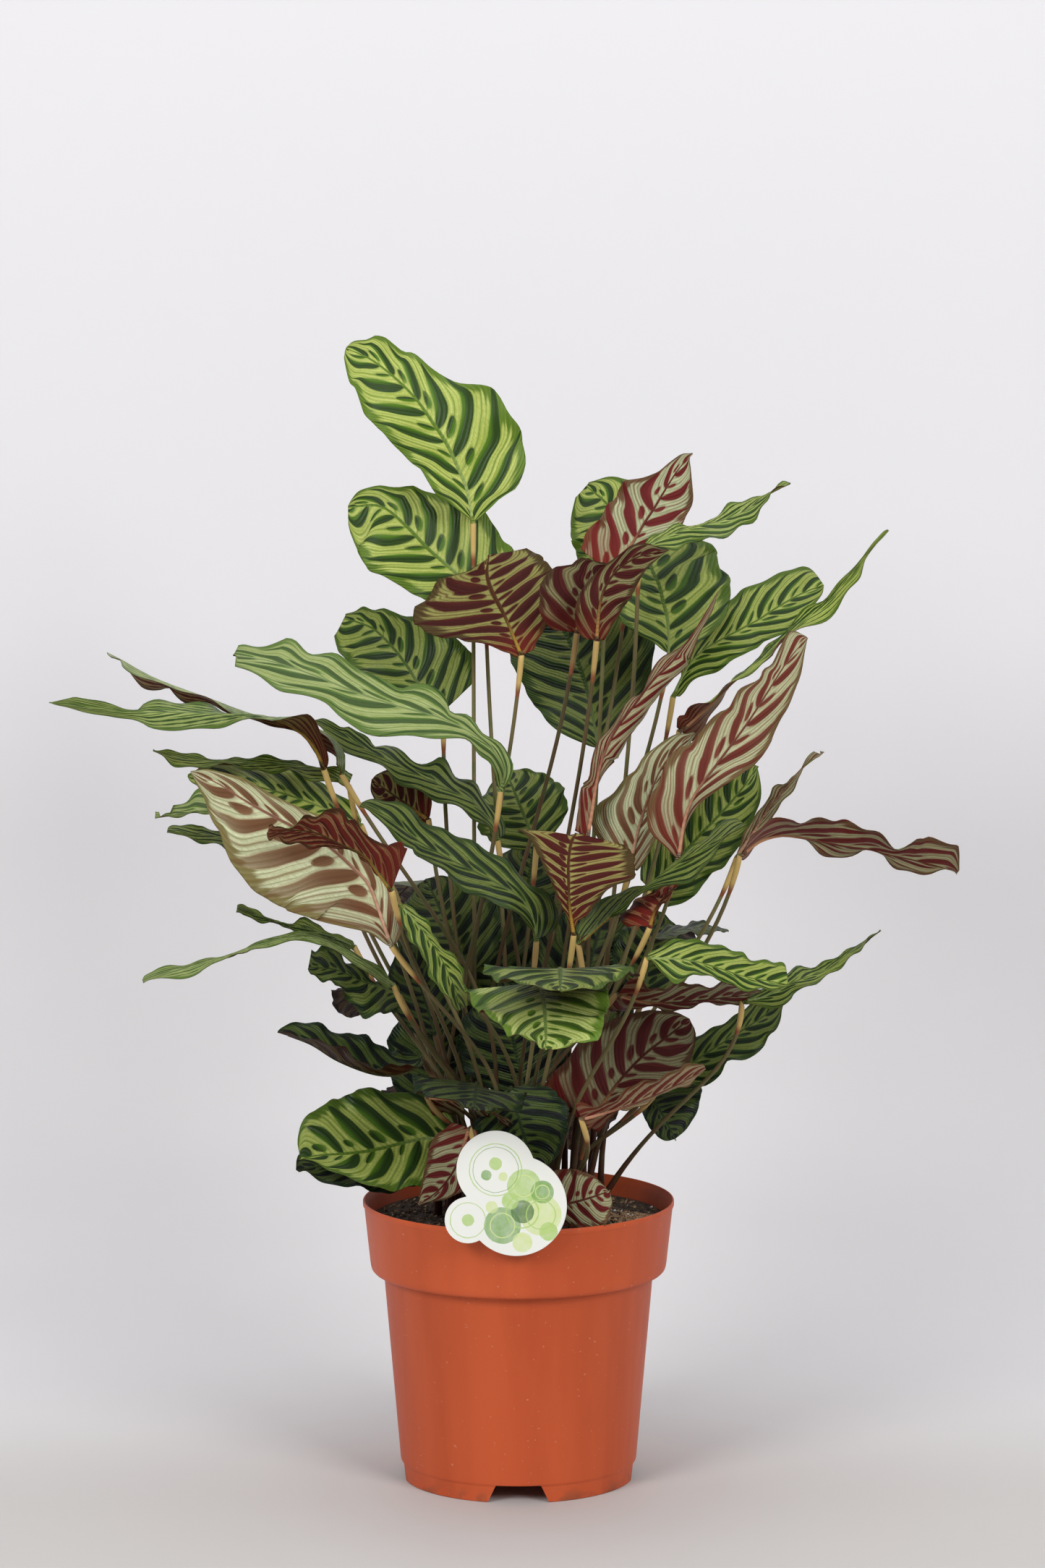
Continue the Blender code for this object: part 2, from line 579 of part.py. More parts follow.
def make_pot():
    pot = new_object("pot", *lathe(pot_profile(), POT_SIDES), TERRACOTTA, 0.55)
    low, high = NOTCH_BOTTOM_WIDTH / 2, NOTCH_TOP_WIDTH / 2
    spread = (low - high) / NOTCH_HEIGHT * 2
    corners = [(-low - spread, -2), (low + spread, -2), (high, NOTCH_HEIGHT), (-high, NOTCH_HEIGHT)]
    for k in range(NOTCH_COUNT):
        points, faces = prism(corners, 50, 2 * math.pi * k / NOTCH_COUNT)
        cut(pot, new_object("notch", points, faces, TERRACOTTA, 0.5))
    for k in range(DRAIN_COUNT):
        turn = 2 * math.pi * (k + 0.46) / DRAIN_COUNT
        centre = Vector((DRAIN_RING_RADIUS * math.cos(turn), DRAIN_RING_RADIUS * math.sin(turn), 0))
        points, faces = lathe([(0, 8), (DRAIN_RADIUS, 8), (DRAIN_RADIUS, 20), (0, 20)], 8)
        cut(pot, new_object("drain", [p + centre for p in points], faces, TERRACOTTA, 0.5))
    return pot


def soil_height(x, y):
    """The soil's surface: a little uneven, with one heap beside the stalks."""
    heap = math.exp(-((x - MOUND_X) ** 2 + (y - MOUND_Y) ** 2) / (2 * MOUND_SPREAD**2))
    uneven = math.sin(x / 11 + 1.3) * math.cos(y / 13) + 0.6 * math.sin(x / 7 - y / 9)
    edge = max(0.0, 1 - (math.hypot(x, y) / (RIM_RADIUS - 8)) ** 6)
    return SOIL_TOP + (0.8 * uneven + MOUND_HEIGHT * heap) * edge


def soil_body():
    inner_body = BODY_TOP_RADIUS - WALL - GAP
    inner_band = BAND_FOOT_RADIUS - WALL - GAP
    rise = (SOIL_TOP - BAND_BOTTOM - 6) / (POT_HEIGHT - 5 - BAND_BOTTOM - 6)
    top_radius = inner_band + (RIM_RADIUS - 1.2 - BAND_FOOT_RADIUS) * rise - 0.2
    profile = [
        (0, FLOOR_TOP + GAP),
        (BASE_RADIUS - WALL - 0.9, FLOOR_TOP + GAP),
        (BASE_RADIUS - WALL + 0.8, FLOOR_TOP + 3),
        (inner_body - 0.4, BAND_BOTTOM),
        (inner_band - 1.6, BAND_BOTTOM + 4.2),
        (inner_band - 0.3, BAND_BOTTOM + 7),
        (top_radius - 0.6, SOIL_TOP),
        (84, SOIL_TOP),
        (68, SOIL_TOP),
        (50, SOIL_TOP),
        (28, SOIL_TOP),
        (0, SOIL_TOP),
    ]
    points, faces = lathe(profile, SOIL_SIDES)
    points = [p if p.z < SOIL_TOP else Vector((p.x, p.y, soil_height(p.x, p.y))) for p in points]
    return points, faces


def make_soil(roots):
    soil = new_object("soil", *soil_body(), PEAT, 0.95)
    radius = (SHEATH_RADIUS + GAP) / math.cos(math.pi / HOLE_SIDES)
    bottom = SOIL_TOP - ROOT_DEPTH - GAP
    above = SOIL_TOP + 20
    points = []
    faces = []
    for x, y in roots:
        hole, sides = lathe([(0, bottom), (radius, bottom), (radius, above), (0, above)], HOLE_SIDES)
        faces += [tuple(v + len(points) for v in side) for side in sides]
        points += [p + Vector((x, y, 0)) for p in hole]
    cut(soil, new_object("holes", points, faces, PEAT, 0.9))
    slot = [
        (STAKE_X - STAKE_WIDTH / 2 - GAP, STAKE_BOTTOM - GAP),
        (STAKE_X + STAKE_WIDTH / 2 + GAP, STAKE_BOTTOM - GAP),
        (STAKE_X + STAKE_WIDTH / 2 + GAP, above),
        (STAKE_X - STAKE_WIDTH / 2 - GAP, above),
    ]
    depth = LABEL_THICKNESS + 2 * GAP
    points, faces = prism(slot, depth, 0)
    shift = STAKE_INSIDE_Y + depth / 2 + 40
    cut(soil, new_object("slot", [p + Vector((0, shift, 0)) for p in points], faces, PEAT, 0.9))
    return soil


def label_radius(turn):
    """How far the label's edge is from the middle of its large disc in one direction."""
    middle = LABEL_DISCS[0]
    reach = 0
    for x, z, radius in LABEL_DISCS:
        away = Vector((x - middle[0], z - middle[1]))
        along = away.dot(Vector((math.cos(turn), math.sin(turn))))
        left = along * along - away.length_squared + radius * radius
        if left >= 0:
            reach = max(reach, along + math.sqrt(left))
    return reach


def label_card():
    middle_x, middle_z, _ = LABEL_DISCS[0]
    tilt = Matrix.Rotation(-LABEL_TILT, 3, "X")
    points = []
    for y in (-LABEL_THICKNESS / 2, LABEL_THICKNESS / 2):
        for k in range(LABEL_SIDES):
            turn = 2 * math.pi * k / LABEL_SIDES
            reach = label_radius(turn)
            flat = Vector((reach * math.cos(turn), y, reach * math.sin(turn)))
            points.append(tilt @ flat + place((middle_x, middle_z, LABEL_Y)))
    faces = [tuple(range(LABEL_SIDES)), tuple(range(2 * LABEL_SIDES - 1, LABEL_SIDES - 1, -1))]
    faces += [
        (k, k + LABEL_SIDES, (k + 1) % LABEL_SIDES + LABEL_SIDES, (k + 1) % LABEL_SIDES)
        for k in range(LABEL_SIDES)
    ]
    return points, faces


def stake_strip():
    """The stake: a flat strip from the back of the card, over the rim and down into the soil."""
    card = place((LABEL_DISCS[0][0], LABEL_DISCS[0][1], LABEL_Y))
    start = STAKE_TOP - 2.6
    front = LABEL_Y + (start - card.z) * math.tan(LABEL_TILT) + 0.3
    half = LABEL_THICKNESS / 2
    route = [
        (front, start),
        (front + 5, STAKE_TOP - 0.8),
        (STAKE_INSIDE_Y - 3, STAKE_TOP - 1.2),
        (STAKE_INSIDE_Y, STAKE_TOP - 5),
        (STAKE_INSIDE_Y, STAKE_BOTTOM),
    ]
    points = []
    for index, (y, z) in enumerate(route):
        before = Vector(route[max(index - 1, 0)])
        after = Vector(route[min(index + 1, len(route) - 1)])
        along = (after - before).normalized()
        off = Vector((-along.y, along.x)) * half
        for x, turn in ((-1, 1), (1, 1), (1, -1), (-1, -1)):
            points.append(Vector((STAKE_X + x * STAKE_WIDTH / 2, y + off.x * turn, z + off.y * turn)))
    faces = [(3, 2, 1, 0), tuple(len(points) - 4 + i for i in range(4))]
    for first in range(0, len(points) - 4, 4):
        for i in range(4):
            j = (i + 1) % 4
            faces.append((first + i, first + j, first + 4 + j, first + 4 + i))
    return points, faces


def fuse(target, other):
    """One closed body out of two that cross."""
    modifier = target.modifiers.new("join", "BOOLEAN")
    modifier.operation = "UNION"
    modifier.solver = "EXACT"
    modifier.object = other
    apply_modifier(target)
    bpy.data.objects.remove(other)


def make_label():
    label = new_object("label", *label_card(), CARD, 0.5)
    fuse(label, new_object("stake", *stake_strip(), CARD, 0.5))
    return label


def make_leaves(roots):
    """Settles and makes the leaves one after the other. Those of one sheath share a node."""
    walls = [tree_of(*soil_body()), tree_of(*lathe(pot_profile(), POT_SIDES))]
    label = [tree_of(*label_card()), tree_of(*stake_strip())]
    trees = {}
    pieces = {}
    for row in LEAVES:
        stem = row["stem_of"] or row["name"]
        own = [trees[name] for name in trees if name == stem or SHARED.get(name) == stem]
        others = [trees[name] for name in trees if name != stem and SHARED.get(name) != stem]
        found = settle(row, roots[stem], others + label, own, walls)
        if found is None:
            print("no clear way for", row["name"])
            found = blade_axes(row), (0, 0), (0, 0, 0)
        axes, bend, shift = found
        points, faces = leaf_mesh(row, axes, roots[stem], bend)
        trees[row["name"]] = tree_of(points, faces)
        piece = new_object("leaf_" + row["name"], points, faces, GREEN, 0.45)
        if row["stem_of"]:
            fuse(pieces[stem], piece)
            pieces[stem].name = "leaves_" + stem
        else:
            pieces[stem] = piece


def main():
    for old in list(bpy.data.objects):
        bpy.data.objects.remove(old)
    roots = shared_roots()
    make_pot()
    make_soil(list(roots.values()))
    make_label()
    make_leaves(roots)


main()
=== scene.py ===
import math
import random

import bpy
from mathutils import Matrix, Vector, noise
from mathutils.kdtree import KDTree


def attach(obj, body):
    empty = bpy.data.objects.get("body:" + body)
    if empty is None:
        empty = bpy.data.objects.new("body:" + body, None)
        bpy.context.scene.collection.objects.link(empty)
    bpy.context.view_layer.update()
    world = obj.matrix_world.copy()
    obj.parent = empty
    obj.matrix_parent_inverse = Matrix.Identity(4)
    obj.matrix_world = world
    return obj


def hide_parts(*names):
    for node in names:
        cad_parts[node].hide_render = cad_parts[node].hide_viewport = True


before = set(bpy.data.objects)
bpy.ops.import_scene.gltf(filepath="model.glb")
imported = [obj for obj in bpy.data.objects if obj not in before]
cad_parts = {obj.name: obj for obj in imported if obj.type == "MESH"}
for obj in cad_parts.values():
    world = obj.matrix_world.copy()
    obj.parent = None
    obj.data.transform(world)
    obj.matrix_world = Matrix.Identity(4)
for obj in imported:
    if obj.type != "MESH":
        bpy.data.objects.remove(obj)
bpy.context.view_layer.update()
scene = bpy.context.scene
random.seed(11)
mm = 0.001  # lengths below are millimetres, and meshes are scaled to metres as they are made


# Small helpers for meshes

def newPiece(name, points, faces, materials, slotOf=None, smooth=True):
    mesh = bpy.data.meshes.new(name)
    mesh.from_pydata([Vector(p) * mm for p in points], [], faces)
    for material in materials:
        mesh.materials.append(material)
    if slotOf:
        mesh.polygons.foreach_set("material_index", slotOf)
    mesh.polygons.foreach_set("use_smooth", [smooth] * len(mesh.polygons))
    mesh.update()
    piece = bpy.data.objects.new(name, mesh)
    scene.collection.objects.link(piece)
    return piece


def giveUvs(piece, name, uvs):
    layer = piece.data.uv_layers.new(name=name)
    flat = []
    for loop in piece.data.loops:
        flat += uvs[loop.vertex_index]
    layer.data.foreach_set("uv", flat)


def giveValues(piece, name, values):
    attribute = piece.data.attributes.new(name, "FLOAT_VECTOR", "POINT")
    attribute.data.foreach_set("vector", values)


def dress(piece, node):
    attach(piece, "root")
    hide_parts(node)


def lathe(profile, sides):
    points = []
    rings = []
    for radius, z in profile:
        if radius == 0:
            rings.append([len(points)] * sides)
            points.append(Vector((0, 0, z)))
            continue
        rings.append([len(points) + i for i in range(sides)])
        for i in range(sides):
            turn = 2 * math.pi * i / sides
            points.append(Vector((radius * math.cos(turn), radius * math.sin(turn), z)))
    faces = []
    for low, high in zip(rings, rings[1:]):
        for i in range(sides):
            j = (i + 1) % sides
            face = [low[i], low[j], high[j], high[i]]
            faces.append([v for k, v in enumerate(face) if v != face[k - 1]])
    return points, faces


# Small helpers for materials

def newMaterial(name, **values):
    material = bpy.data.materials.new(name)
    material.use_nodes = True
    tree = material.node_tree
    shader = tree.nodes["Principled BSDF"]
    for socket, value in values.items():
        shader.inputs[socket.replace("_", " ")].default_value = value
    return material, tree, shader


def newGroup(name, inputs, outputs):
    tree = bpy.data.node_groups.new(name, "ShaderNodeTree")
    for socket, kind in inputs:
        tree.interface.new_socket(name=socket, in_out="INPUT", socket_type="NodeSocket" + kind)
    for socket, kind in outputs:
        tree.interface.new_socket(name=socket, in_out="OUTPUT", socket_type="NodeSocket" + kind)
    return tree, tree.nodes.new("NodeGroupInput").outputs, tree.nodes.new("NodeGroupOutput").inputs


def placeGroup(tree, group, **values):
    node = tree.nodes.new("ShaderNodeGroup")
    node.node_tree = group
    for name, value in values.items():
        feed(tree, value, node.inputs[name])
    return node.outputs


def feed(tree, value, socket):
    if isinstance(value, bpy.types.NodeSocket):
        tree.links.new(value, socket)
    else:
        socket.default_value = value


def calc(tree, operation, *values, clamp=False):
    node = tree.nodes.new("ShaderNodeMath")
    node.operation = operation
    node.use_clamp = clamp
    for socket, value in zip(node.inputs, values):
        feed(tree, value, socket)
    return node.outputs[0]


def times(tree, first, second, **more):
    return calc(tree, "MULTIPLY", first, second, **more)


def minus(tree, first, second):
    return calc(tree, "SUBTRACT", first, second)


def scaled(tree, value, factor, offset, **more):
    return calc(tree, "MULTIPLY_ADD", value, factor, offset, **more)


def soft(tree, value, low, high):
    node = tree.nodes.new("ShaderNodeMapRange")
    node.interpolation_type = "SMOOTHSTEP"
    for name, given in (("Value", value), ("From Min", low), ("From Max", high)):
        feed(tree, given, node.inputs[name])
    return node.outputs[0]


def mix(tree, share, first, second):
    node = tree.nodes.new("ShaderNodeMix")
    node.data_type = "RGBA"
    for index, value in ((0, share), (6, first), (7, second)):
        value = (*value, 1) if isinstance(value, tuple) and len(value) == 3 else value
        feed(tree, value, node.inputs[index])
    return node.outputs[2]


def vector(tree, x, y, z):
    node = tree.nodes.new("ShaderNodeCombineXYZ")
    for socket, value in zip(node.inputs, (x, y, z)):
        feed(tree, value, socket)
    return node.outputs[0]


def parts(tree, value):
    node = tree.nodes.new("ShaderNodeSeparateXYZ")
    feed(tree, value, node.inputs[0])
    return node.outputs


def clouds(tree, place, scale, detail=2.0, roughness=0.5):
    node = tree.nodes.new("ShaderNodeTexNoise")
    feed(tree, place, node.inputs["Vector"])
    node.inputs["Scale"].default_value = scale
    node.inputs["Detail"].default_value = detail
    node.inputs["Roughness"].default_value = roughness
    return node.outputs


def uvOf(tree, name):
    node = tree.nodes.new("ShaderNodeUVMap")
    node.uv_map = name
    return node.outputs[0]


def valuesOf(tree, name):
    node = tree.nodes.new("ShaderNodeAttribute")
    node.attribute_name = name
    return parts(tree, node.outputs["Vector"])


def objectPlace(tree):
    return tree.nodes.new("ShaderNodeTexCoord").outputs["Object"]


def bump(tree, shader, height, strength, distance):
    node = tree.nodes.new("ShaderNodeBump")
    node.inputs["Strength"].default_value = strength
    node.inputs["Distance"].default_value = distance
    feed(tree, height, node.inputs["Height"])
    tree.links.new(node.outputs[0], shader.inputs["Normal"])


# The leaf markings: one group that both faces of every blade use

marks = {
    "bend": 0.14,  # how far along the blade a side vein has come at the margin, at first and in its curve
    "curve": 0.08,
    "wobble": 0.05,  # of the veins, in shares of the blade's length
    "wobbleScale": (5, 2.2),  # along the blade and across it
    "streakScale": (5.5, 1.4),
    "netScale": (14, 55),
    "reach": (0.98, 0.14, 0.24),  # of a long blotch: least, more by chance, less towards the tip
    "peak": 0.78,  # below 1 it brings a blotch's widest part nearer to the midrib
    "blunter": 0.35,  # how much blunter blotches are on one side of the midrib
    "width": (0.21, 0.07),  # of a long blotch in its cell: least, more by chance
    "spotPlace": (0.13, 0.05, 0.05),  # of a short one: least, more on one side, more by chance
    "spotLength": (0.10, -0.03, 0.06),
    "spotWidth": (0.07, 0.07, 0.05),
    "lines": 6,  # fine veins from one long blotch to the next
    "lineCrest": (1.16, -0.30, -0.42),  # how thin veins are: at the midrib, by chance, outwards
    "margin": (0.60, 0.46),  # where the green margin begins at the earliest, and how far streaks shift it
    "rib": (0.045, 0.02),  # the midrib's half-width, where it fades and where it is full
}


def makeMarksGroup():
    inputs = [("Blade", "Vector")] + [(name, "Float") for name in ("Seed", "Sweep", "Pairs", "Fullness")]
    masks = ("Blotch", "Halo", "Flank", "Lines", "Margin", "Rib", "Grain", "Net", "Pleat", "Along", "Out")
    tree, given, made = newGroup("leafMarks", inputs, [(name, "Float") for name in masks])
    u, v, _ = parts(tree, given["Blade"])
    seed = given["Seed"]
    across = times(tree, minus(tree, v, 0.5), 2)
    out = calc(tree, "ABSOLUTE", across)
    side = calc(tree, "GREATER_THAN", v, 0.5)
    along, sideways = marks["wobbleScale"]
    wobblePlace = vector(tree, scaled(tree, u, along, seed), times(tree, v, sideways), seed)
    wobble = scaled(tree, clouds(tree, wobblePlace, 1.0, 1.0)[0], marks["wobble"], -marks["wobble"] / 2)
    lead = times(tree, scaled(tree, out, marks["curve"], marks["bend"]), out)
    lead = times(tree, lead, given["Sweep"])
    vein = calc(tree, "ADD", minus(tree, u, lead), wobble)
    shiftedVein = scaled(tree, vein, given["Pairs"], times(tree, side, 0.5))
    cell = calc(tree, "ADD", shiftedVein, calc(tree, "FRACT", seed))

    def spread(value):  # three numbers from 0 to 1 for each blotch
        index = calc(tree, "FLOOR", value)
        node = tree.nodes.new("ShaderNodeTexWhiteNoise")
        node.noise_dimensions = "3D"
        feed(tree, vector(tree, index, side, seed), node.inputs["Vector"])
        return parts(tree, node.outputs["Color"])

    def offMiddle(value):
        return minus(tree, calc(tree, "FRACT", value), 0.5)

    def fromMiddle(value):
        return calc(tree, "ABSOLUTE", offMiddle(value))

    def chosen(numbers, chance):
        least, onSide, byChance = numbers
        return scaled(tree, chance, byChance, scaled(tree, side, onSide, least))

    # long blotches, pointed at the midrib, shorter towards the tip of the blade
    anyLength, anyWidth, _ = spread(cell)
    least, byChance, towardsTip = marks["reach"]
    reach = scaled(tree, anyLength, byChance, least)
    reach = minus(tree, reach, times(tree, soft(tree, u, 0.5, 1.0), towardsTip))
    share = calc(tree, "DIVIDE", out, reach, clamp=True)
    bell = calc(tree, "SINE", times(tree, calc(tree, "POWER", share, marks["peak"]), math.pi))
    pointed = scaled(tree, side, -marks["blunter"], 1.0)
    bell = calc(tree, "POWER", calc(tree, "MAXIMUM", bell, 0.0), pointed)
    least, byChance = marks["width"]
    widest = times(tree, scaled(tree, anyWidth, byChance, least), given["Fullness"])
    inLong = minus(tree, times(tree, bell, widest), fromMiddle(cell))

    # short ones between them: round spots on one side of the midrib, spindles on the other
    between = calc(tree, "ADD", cell, 0.5)
    anyPlace, anySize, _ = spread(between)
    middle = chosen(marks["spotPlace"], anyPlace)
    half = chosen(marks["spotLength"], anySize)
    offset = calc(tree, "DIVIDE", minus(tree, out, middle), half)
    oval = minus(tree, 1.0, times(tree, offset, offset))
    oval = calc(tree, "SQRT", calc(tree, "MAXIMUM", oval, 0.0))
    size = chosen(marks["spotWidth"], anySize)
    inShort = minus(tree, times(tree, oval, size), fromMiddle(between))
    inside = calc(tree, "MAXIMUM", inLong, inShort)
    # painted light: one flank of each blotch is lighter, as if the pleat there caught the light
    flank = soft(tree, times(tree, offMiddle(cell), bell), 0.02, 0.16)

    # fine veins, wider apart by chance and bolder towards the margin
    lineCell = times(tree, cell, marks["lines"])
    lineWave = times(tree, fromMiddle(lineCell), 2)
    lineAny, _, _ = spread(calc(tree, "ADD", lineCell, 0.5))
    atRib, byChance, outwards = marks["lineCrest"]
    crest = scaled(tree, out, outwards, scaled(tree, lineAny, byChance, atRib))
    lines = soft(tree, lineWave, minus(tree, crest, 0.22), calc(tree, "ADD", crest, 0.14))

    along, sideways = marks["streakScale"]
    streakPlace = vector(tree, times(tree, cell, along), times(tree, out, sideways), seed)
    streaks = clouds(tree, streakPlace, 1.0, 3.0, 0.6)[0]
    along, sideways = marks["netScale"]
    netPlace = vector(tree, times(tree, cell, along), times(tree, across, sideways), seed)
    earliest, shifted = marks["margin"]
    fromMargin = minus(tree, out, scaled(tree, streaks, shifted, earliest))

    feed(tree, soft(tree, inside, -0.014, 0.022), made["Blotch"])
    feed(tree, soft(tree, inside, -0.09, 0.0), made["Halo"])
    feed(tree, flank, made["Flank"])
    feed(tree, lines, made["Lines"])
    feed(tree, soft(tree, fromMargin, -0.05, 0.05), made["Margin"])
    feed(tree, soft(tree, out, *marks["rib"]), made["Rib"])
    feed(tree, streaks, made["Grain"])
    feed(tree, clouds(tree, netPlace, 1.0, 2.0)[0], made["Net"])
    feed(tree, soft(tree, lineWave, 0.0, 1.0), made["Pleat"])
    feed(tree, u, made["Along"])
    feed(tree, out, made["Out"])
    return tree


marksGroup = makeMarksGroup()

# Colours of the two faces, each as in the lit crown and as a darker copy, painted shade, for the leaves
# deep in the plant below

upperFace = {
    "field": ((0.33, 0.39, 0.068), (0.032, 0.05, 0.0084)),
    "bright": ((0.50, 0.56, 0.155), (0.075, 0.106, 0.02)),
    "line": ((0.115, 0.20, 0.016), (0.011, 0.024, 0.005)),
    "halo": ((0.11, 0.20, 0.012), (0.01, 0.024, 0.0056)),
    "blotch": ((0.022, 0.052, 0.006), (0.0016, 0.0044, 0.0028)),
    # painted light on the lit flank of a blotch
    "flank": ((0.065, 0.15, 0.007), (0.005, 0.013, 0.0044)),
    "margin": ((0.070, 0.145, 0.007), (0.005, 0.016, 0.005)),
    "rib": ((0.095, 0.17, 0.014), (0.014, 0.028, 0.0067)),
    "ribFoot": ((0.30, 0.38, 0.12), (0.05, 0.078, 0.025)),
    "roughness": 0.36,
    "specular": 0.18,
    "bump": 0.5,
    "fullness": 1.0,
    "lines": 0.38,
}
underside = {
    "field": ((0.272, 0.276, 0.074), (0.058, 0.036, 0.011)),
    "bright": ((0.359, 0.361, 0.117), (0.092, 0.061, 0.021)),
    "line": ((0.116, 0.071, 0.019), (0.026, 0.0099, 0.0043)),
    "halo": ((0.116, 0.038, 0.014), (0.032, 0.0081, 0.0038)),
    "blotch": ((0.056, 0.0085, 0.0062), (0.015, 0.0029, 0.0024)),
    # painted light on the lit flank of a blotch
    "flank": ((0.078, 0.012, 0.0078), (0.024, 0.0046, 0.0034)),
    "margin": ((0.053, 0.025, 0.0078), (0.016, 0.0046, 0.0029)),
    "rib": ((0.083, 0.029, 0.0094), (0.029, 0.007, 0.0038)),
    "ribFoot": ((0.369, 0.228, 0.035), (0.162, 0.081, 0.019)),
    "foot": ((0.194, 0.019, 0.011), (0.087, 0.0081, 0.0052)),  # the blade's red base
    "roughness": 0.50,
    "specular": 0.08,
    "bump": 0.55,
    "fullness": 1.32,
    "lines": 0.6,
}
paintedSheenColours = {  # painted sheen: lighter colours of an upper face that stand in for its whitish sheen and light, which a leaf has with a pale below zero
    "field": (0.40, 0.48, 0.18),
    "bright": (0.56, 0.63, 0.34),
    "line": (0.20, 0.30, 0.08),
    "halo": (0.20, 0.34, 0.07),
    "blotch": (0.05, 0.12, 0.018),
    # painted light on the lit flank of a blotch
    "flank": (0.10, 0.21, 0.02),
    "margin": (0.13, 0.24, 0.035),
    "rib": (0.30, 0.40, 0.16),
}
paleShades = {  # of an underside, halfway and all the way to pale
    "field": ((0.33, 0.36, 0.20), (0.45, 0.47, 0.27)),
    "bright": ((0.43, 0.46, 0.28), (0.60, 0.62, 0.41)),
    "line": ((0.14, 0.085, 0.040), (0.18, 0.17, 0.065)),
    "halo": ((0.17, 0.070, 0.045), (0.27, 0.19, 0.10)),
    "blotch": ((0.115, 0.014, 0.013), (0.135, 0.072, 0.032)),
    # painted light on the lit flank of a blotch
    "flank": ((0.15, 0.022, 0.020), (0.18, 0.105, 0.050)),
    "margin": ((0.10, 0.035, 0.014), (0.16, 0.13, 0.035)),
    "rib": ((0.11, 0.025, 0.018), (0.26, 0.13, 0.085)),
    "ribFoot": ((0.46, 0.22, 0.13), (0.52, 0.31, 0.21)),
}
blush = {"field": (0.25, 0.095, 0.045), "bright": (0.34, 0.17, 0.085), "blotch": (0.125, 0.014, 0.010)}
finish = {
    "halo": 0.5,  # shares of a mark's colour
    "margin": 0.88,
    "foot": 0.6,
    "footEnd": 0.34,  # how far up the blade its red base reaches
    "paleFullness": 0.40,  # what a pale underside loses of its blotches' width
    "paleFade": 0.65,  # of its blotches towards the margin
    "paleFoot": 0.8,  # and of its red base
    "waxFade": 0.3,  # what an upper face with painted sheen loses of its blotches
    "streaky": 0.12,  # how much rougher streaks are than what lies between them
    "relief": 0.0005,  # of the veins, in metres
}


def makeBladeMaterial(name, look):
    material, tree, shader = newMaterial(name, Specular_IOR_Level=look["specular"])
    seed, sweep, pairs = valuesOf(tree, "leafPattern")
    paintedShade, pale, red = valuesOf(tree, "leafLook")
    isUnder = "foot" in look
    fullness = look["fullness"]
    if isUnder:
        halfPale = times(tree, pale, 2, clamp=True)
        allPale = scaled(tree, pale, 2, -1, clamp=True)
        fullness = scaled(tree, halfPale, -finish["paleFullness"], fullness)
    else:
        # painted sheen: a pale below zero lightens the upper face
        paintedSheen = times(tree, pale, -1, clamp=True)
    shown = placeGroup(tree, marksGroup, Blade=uvOf(tree, "blade"), Seed=seed, Sweep=sweep, Pairs=pairs,
                       Fullness=fullness)

    def tinted(part):
        # painted shade: each colour goes towards its darker copy for a leaf deep in the plant
        colour = mix(tree, paintedShade, *look[part])
        if isUnder:
            colour = mix(tree, halfPale, colour, paleShades[part][0])
            colour = mix(tree, allPale, colour, paleShades[part][1])
            if part in blush:
                colour = mix(tree, red, colour, blush[part])
        elif part in paintedSheenColours:
            colour = mix(tree, paintedSheen, colour, paintedSheenColours[part])
        return colour

    net = scaled(tree, shown["Net"], 0.5, times(tree, shown["Grain"], 0.5))
    colour = mix(tree, soft(tree, net, 0.35, 0.65), tinted("field"), tinted("bright"))
    colour = mix(tree, times(tree, shown["Lines"], look["lines"]), colour, tinted("line"))
    colour = mix(tree, times(tree, shown["Halo"], finish["halo"]), colour, tinted("halo"))
    colour = mix(tree, times(tree, shown["Margin"], finish["margin"]), colour, tinted("margin"))
    # painted light: each blotch is lighter on one flank
    spot = mix(tree, shown["Flank"], tinted("blotch"), tinted("flank"))
    if isUnder:  # pale undersides lose their blotches towards the margin
        fade = times(tree, soft(tree, shown["Out"], 0.25, 0.95), times(tree, allPale, finish["paleFade"]))
        left = minus(tree, 1.0, fade)
    else:
        # painted sheen washes out the blotches
        left = scaled(tree, paintedSheen, -finish["waxFade"], 1.0)
    colour = mix(tree, times(tree, shown["Blotch"], left), colour, spot)
    if isUnder:
        inFoot = times(tree, soft(tree, shown["Along"], finish["footEnd"], 0.0), finish["foot"])
        inFoot = times(tree, inFoot, scaled(tree, allPale, -finish["paleFoot"], 1.0))
        colour = mix(tree, inFoot, colour, mix(tree, paintedShade, *look["foot"]))
    rib = mix(tree, soft(tree, shown["Along"], 0.45, 0.05), tinted("rib"), tinted("ribFoot"))
    colour = mix(tree, shown["Rib"], colour, rib)
    feed(tree, colour, shader.inputs["Base Color"])
    gloss = scaled(tree, shown["Grain"], finish["streaky"], look["roughness"] - finish["streaky"] / 2)
    feed(tree, gloss, shader.inputs["Roughness"])
    bump(tree, shader, scaled(tree, shown["Net"], 0.5, shown["Pleat"]), look["bump"], finish["relief"])
    return material


stalkLook = {
    "soil": (0.060, 0.018, 0.012),  # colours from the soil up to the joint, the low ones dark partly as painted shade under the leaves
    "low": (0.058, 0.023, 0.011),
    "dim": (0.058, 0.048, 0.020),
    "high": (0.20, 0.165, 0.070),
    "green": (0.13, 0.15, 0.045),
    "ring": (0.22, 0.070, 0.030),
    # the joint as lit, and its darker copy as painted shade for a leaf deep in the plant
    "joint": ((0.54, 0.37, 0.13), (0.13, 0.075, 0.030)),
    "ringStart": (0.972, 0.979),  # where the ring and the joint begin along a stalk
    "jointStart": (0.981, 0.987),
    "roughness": 0.4,
    "specular": 0.15,
    "relief": 0.0003,
}


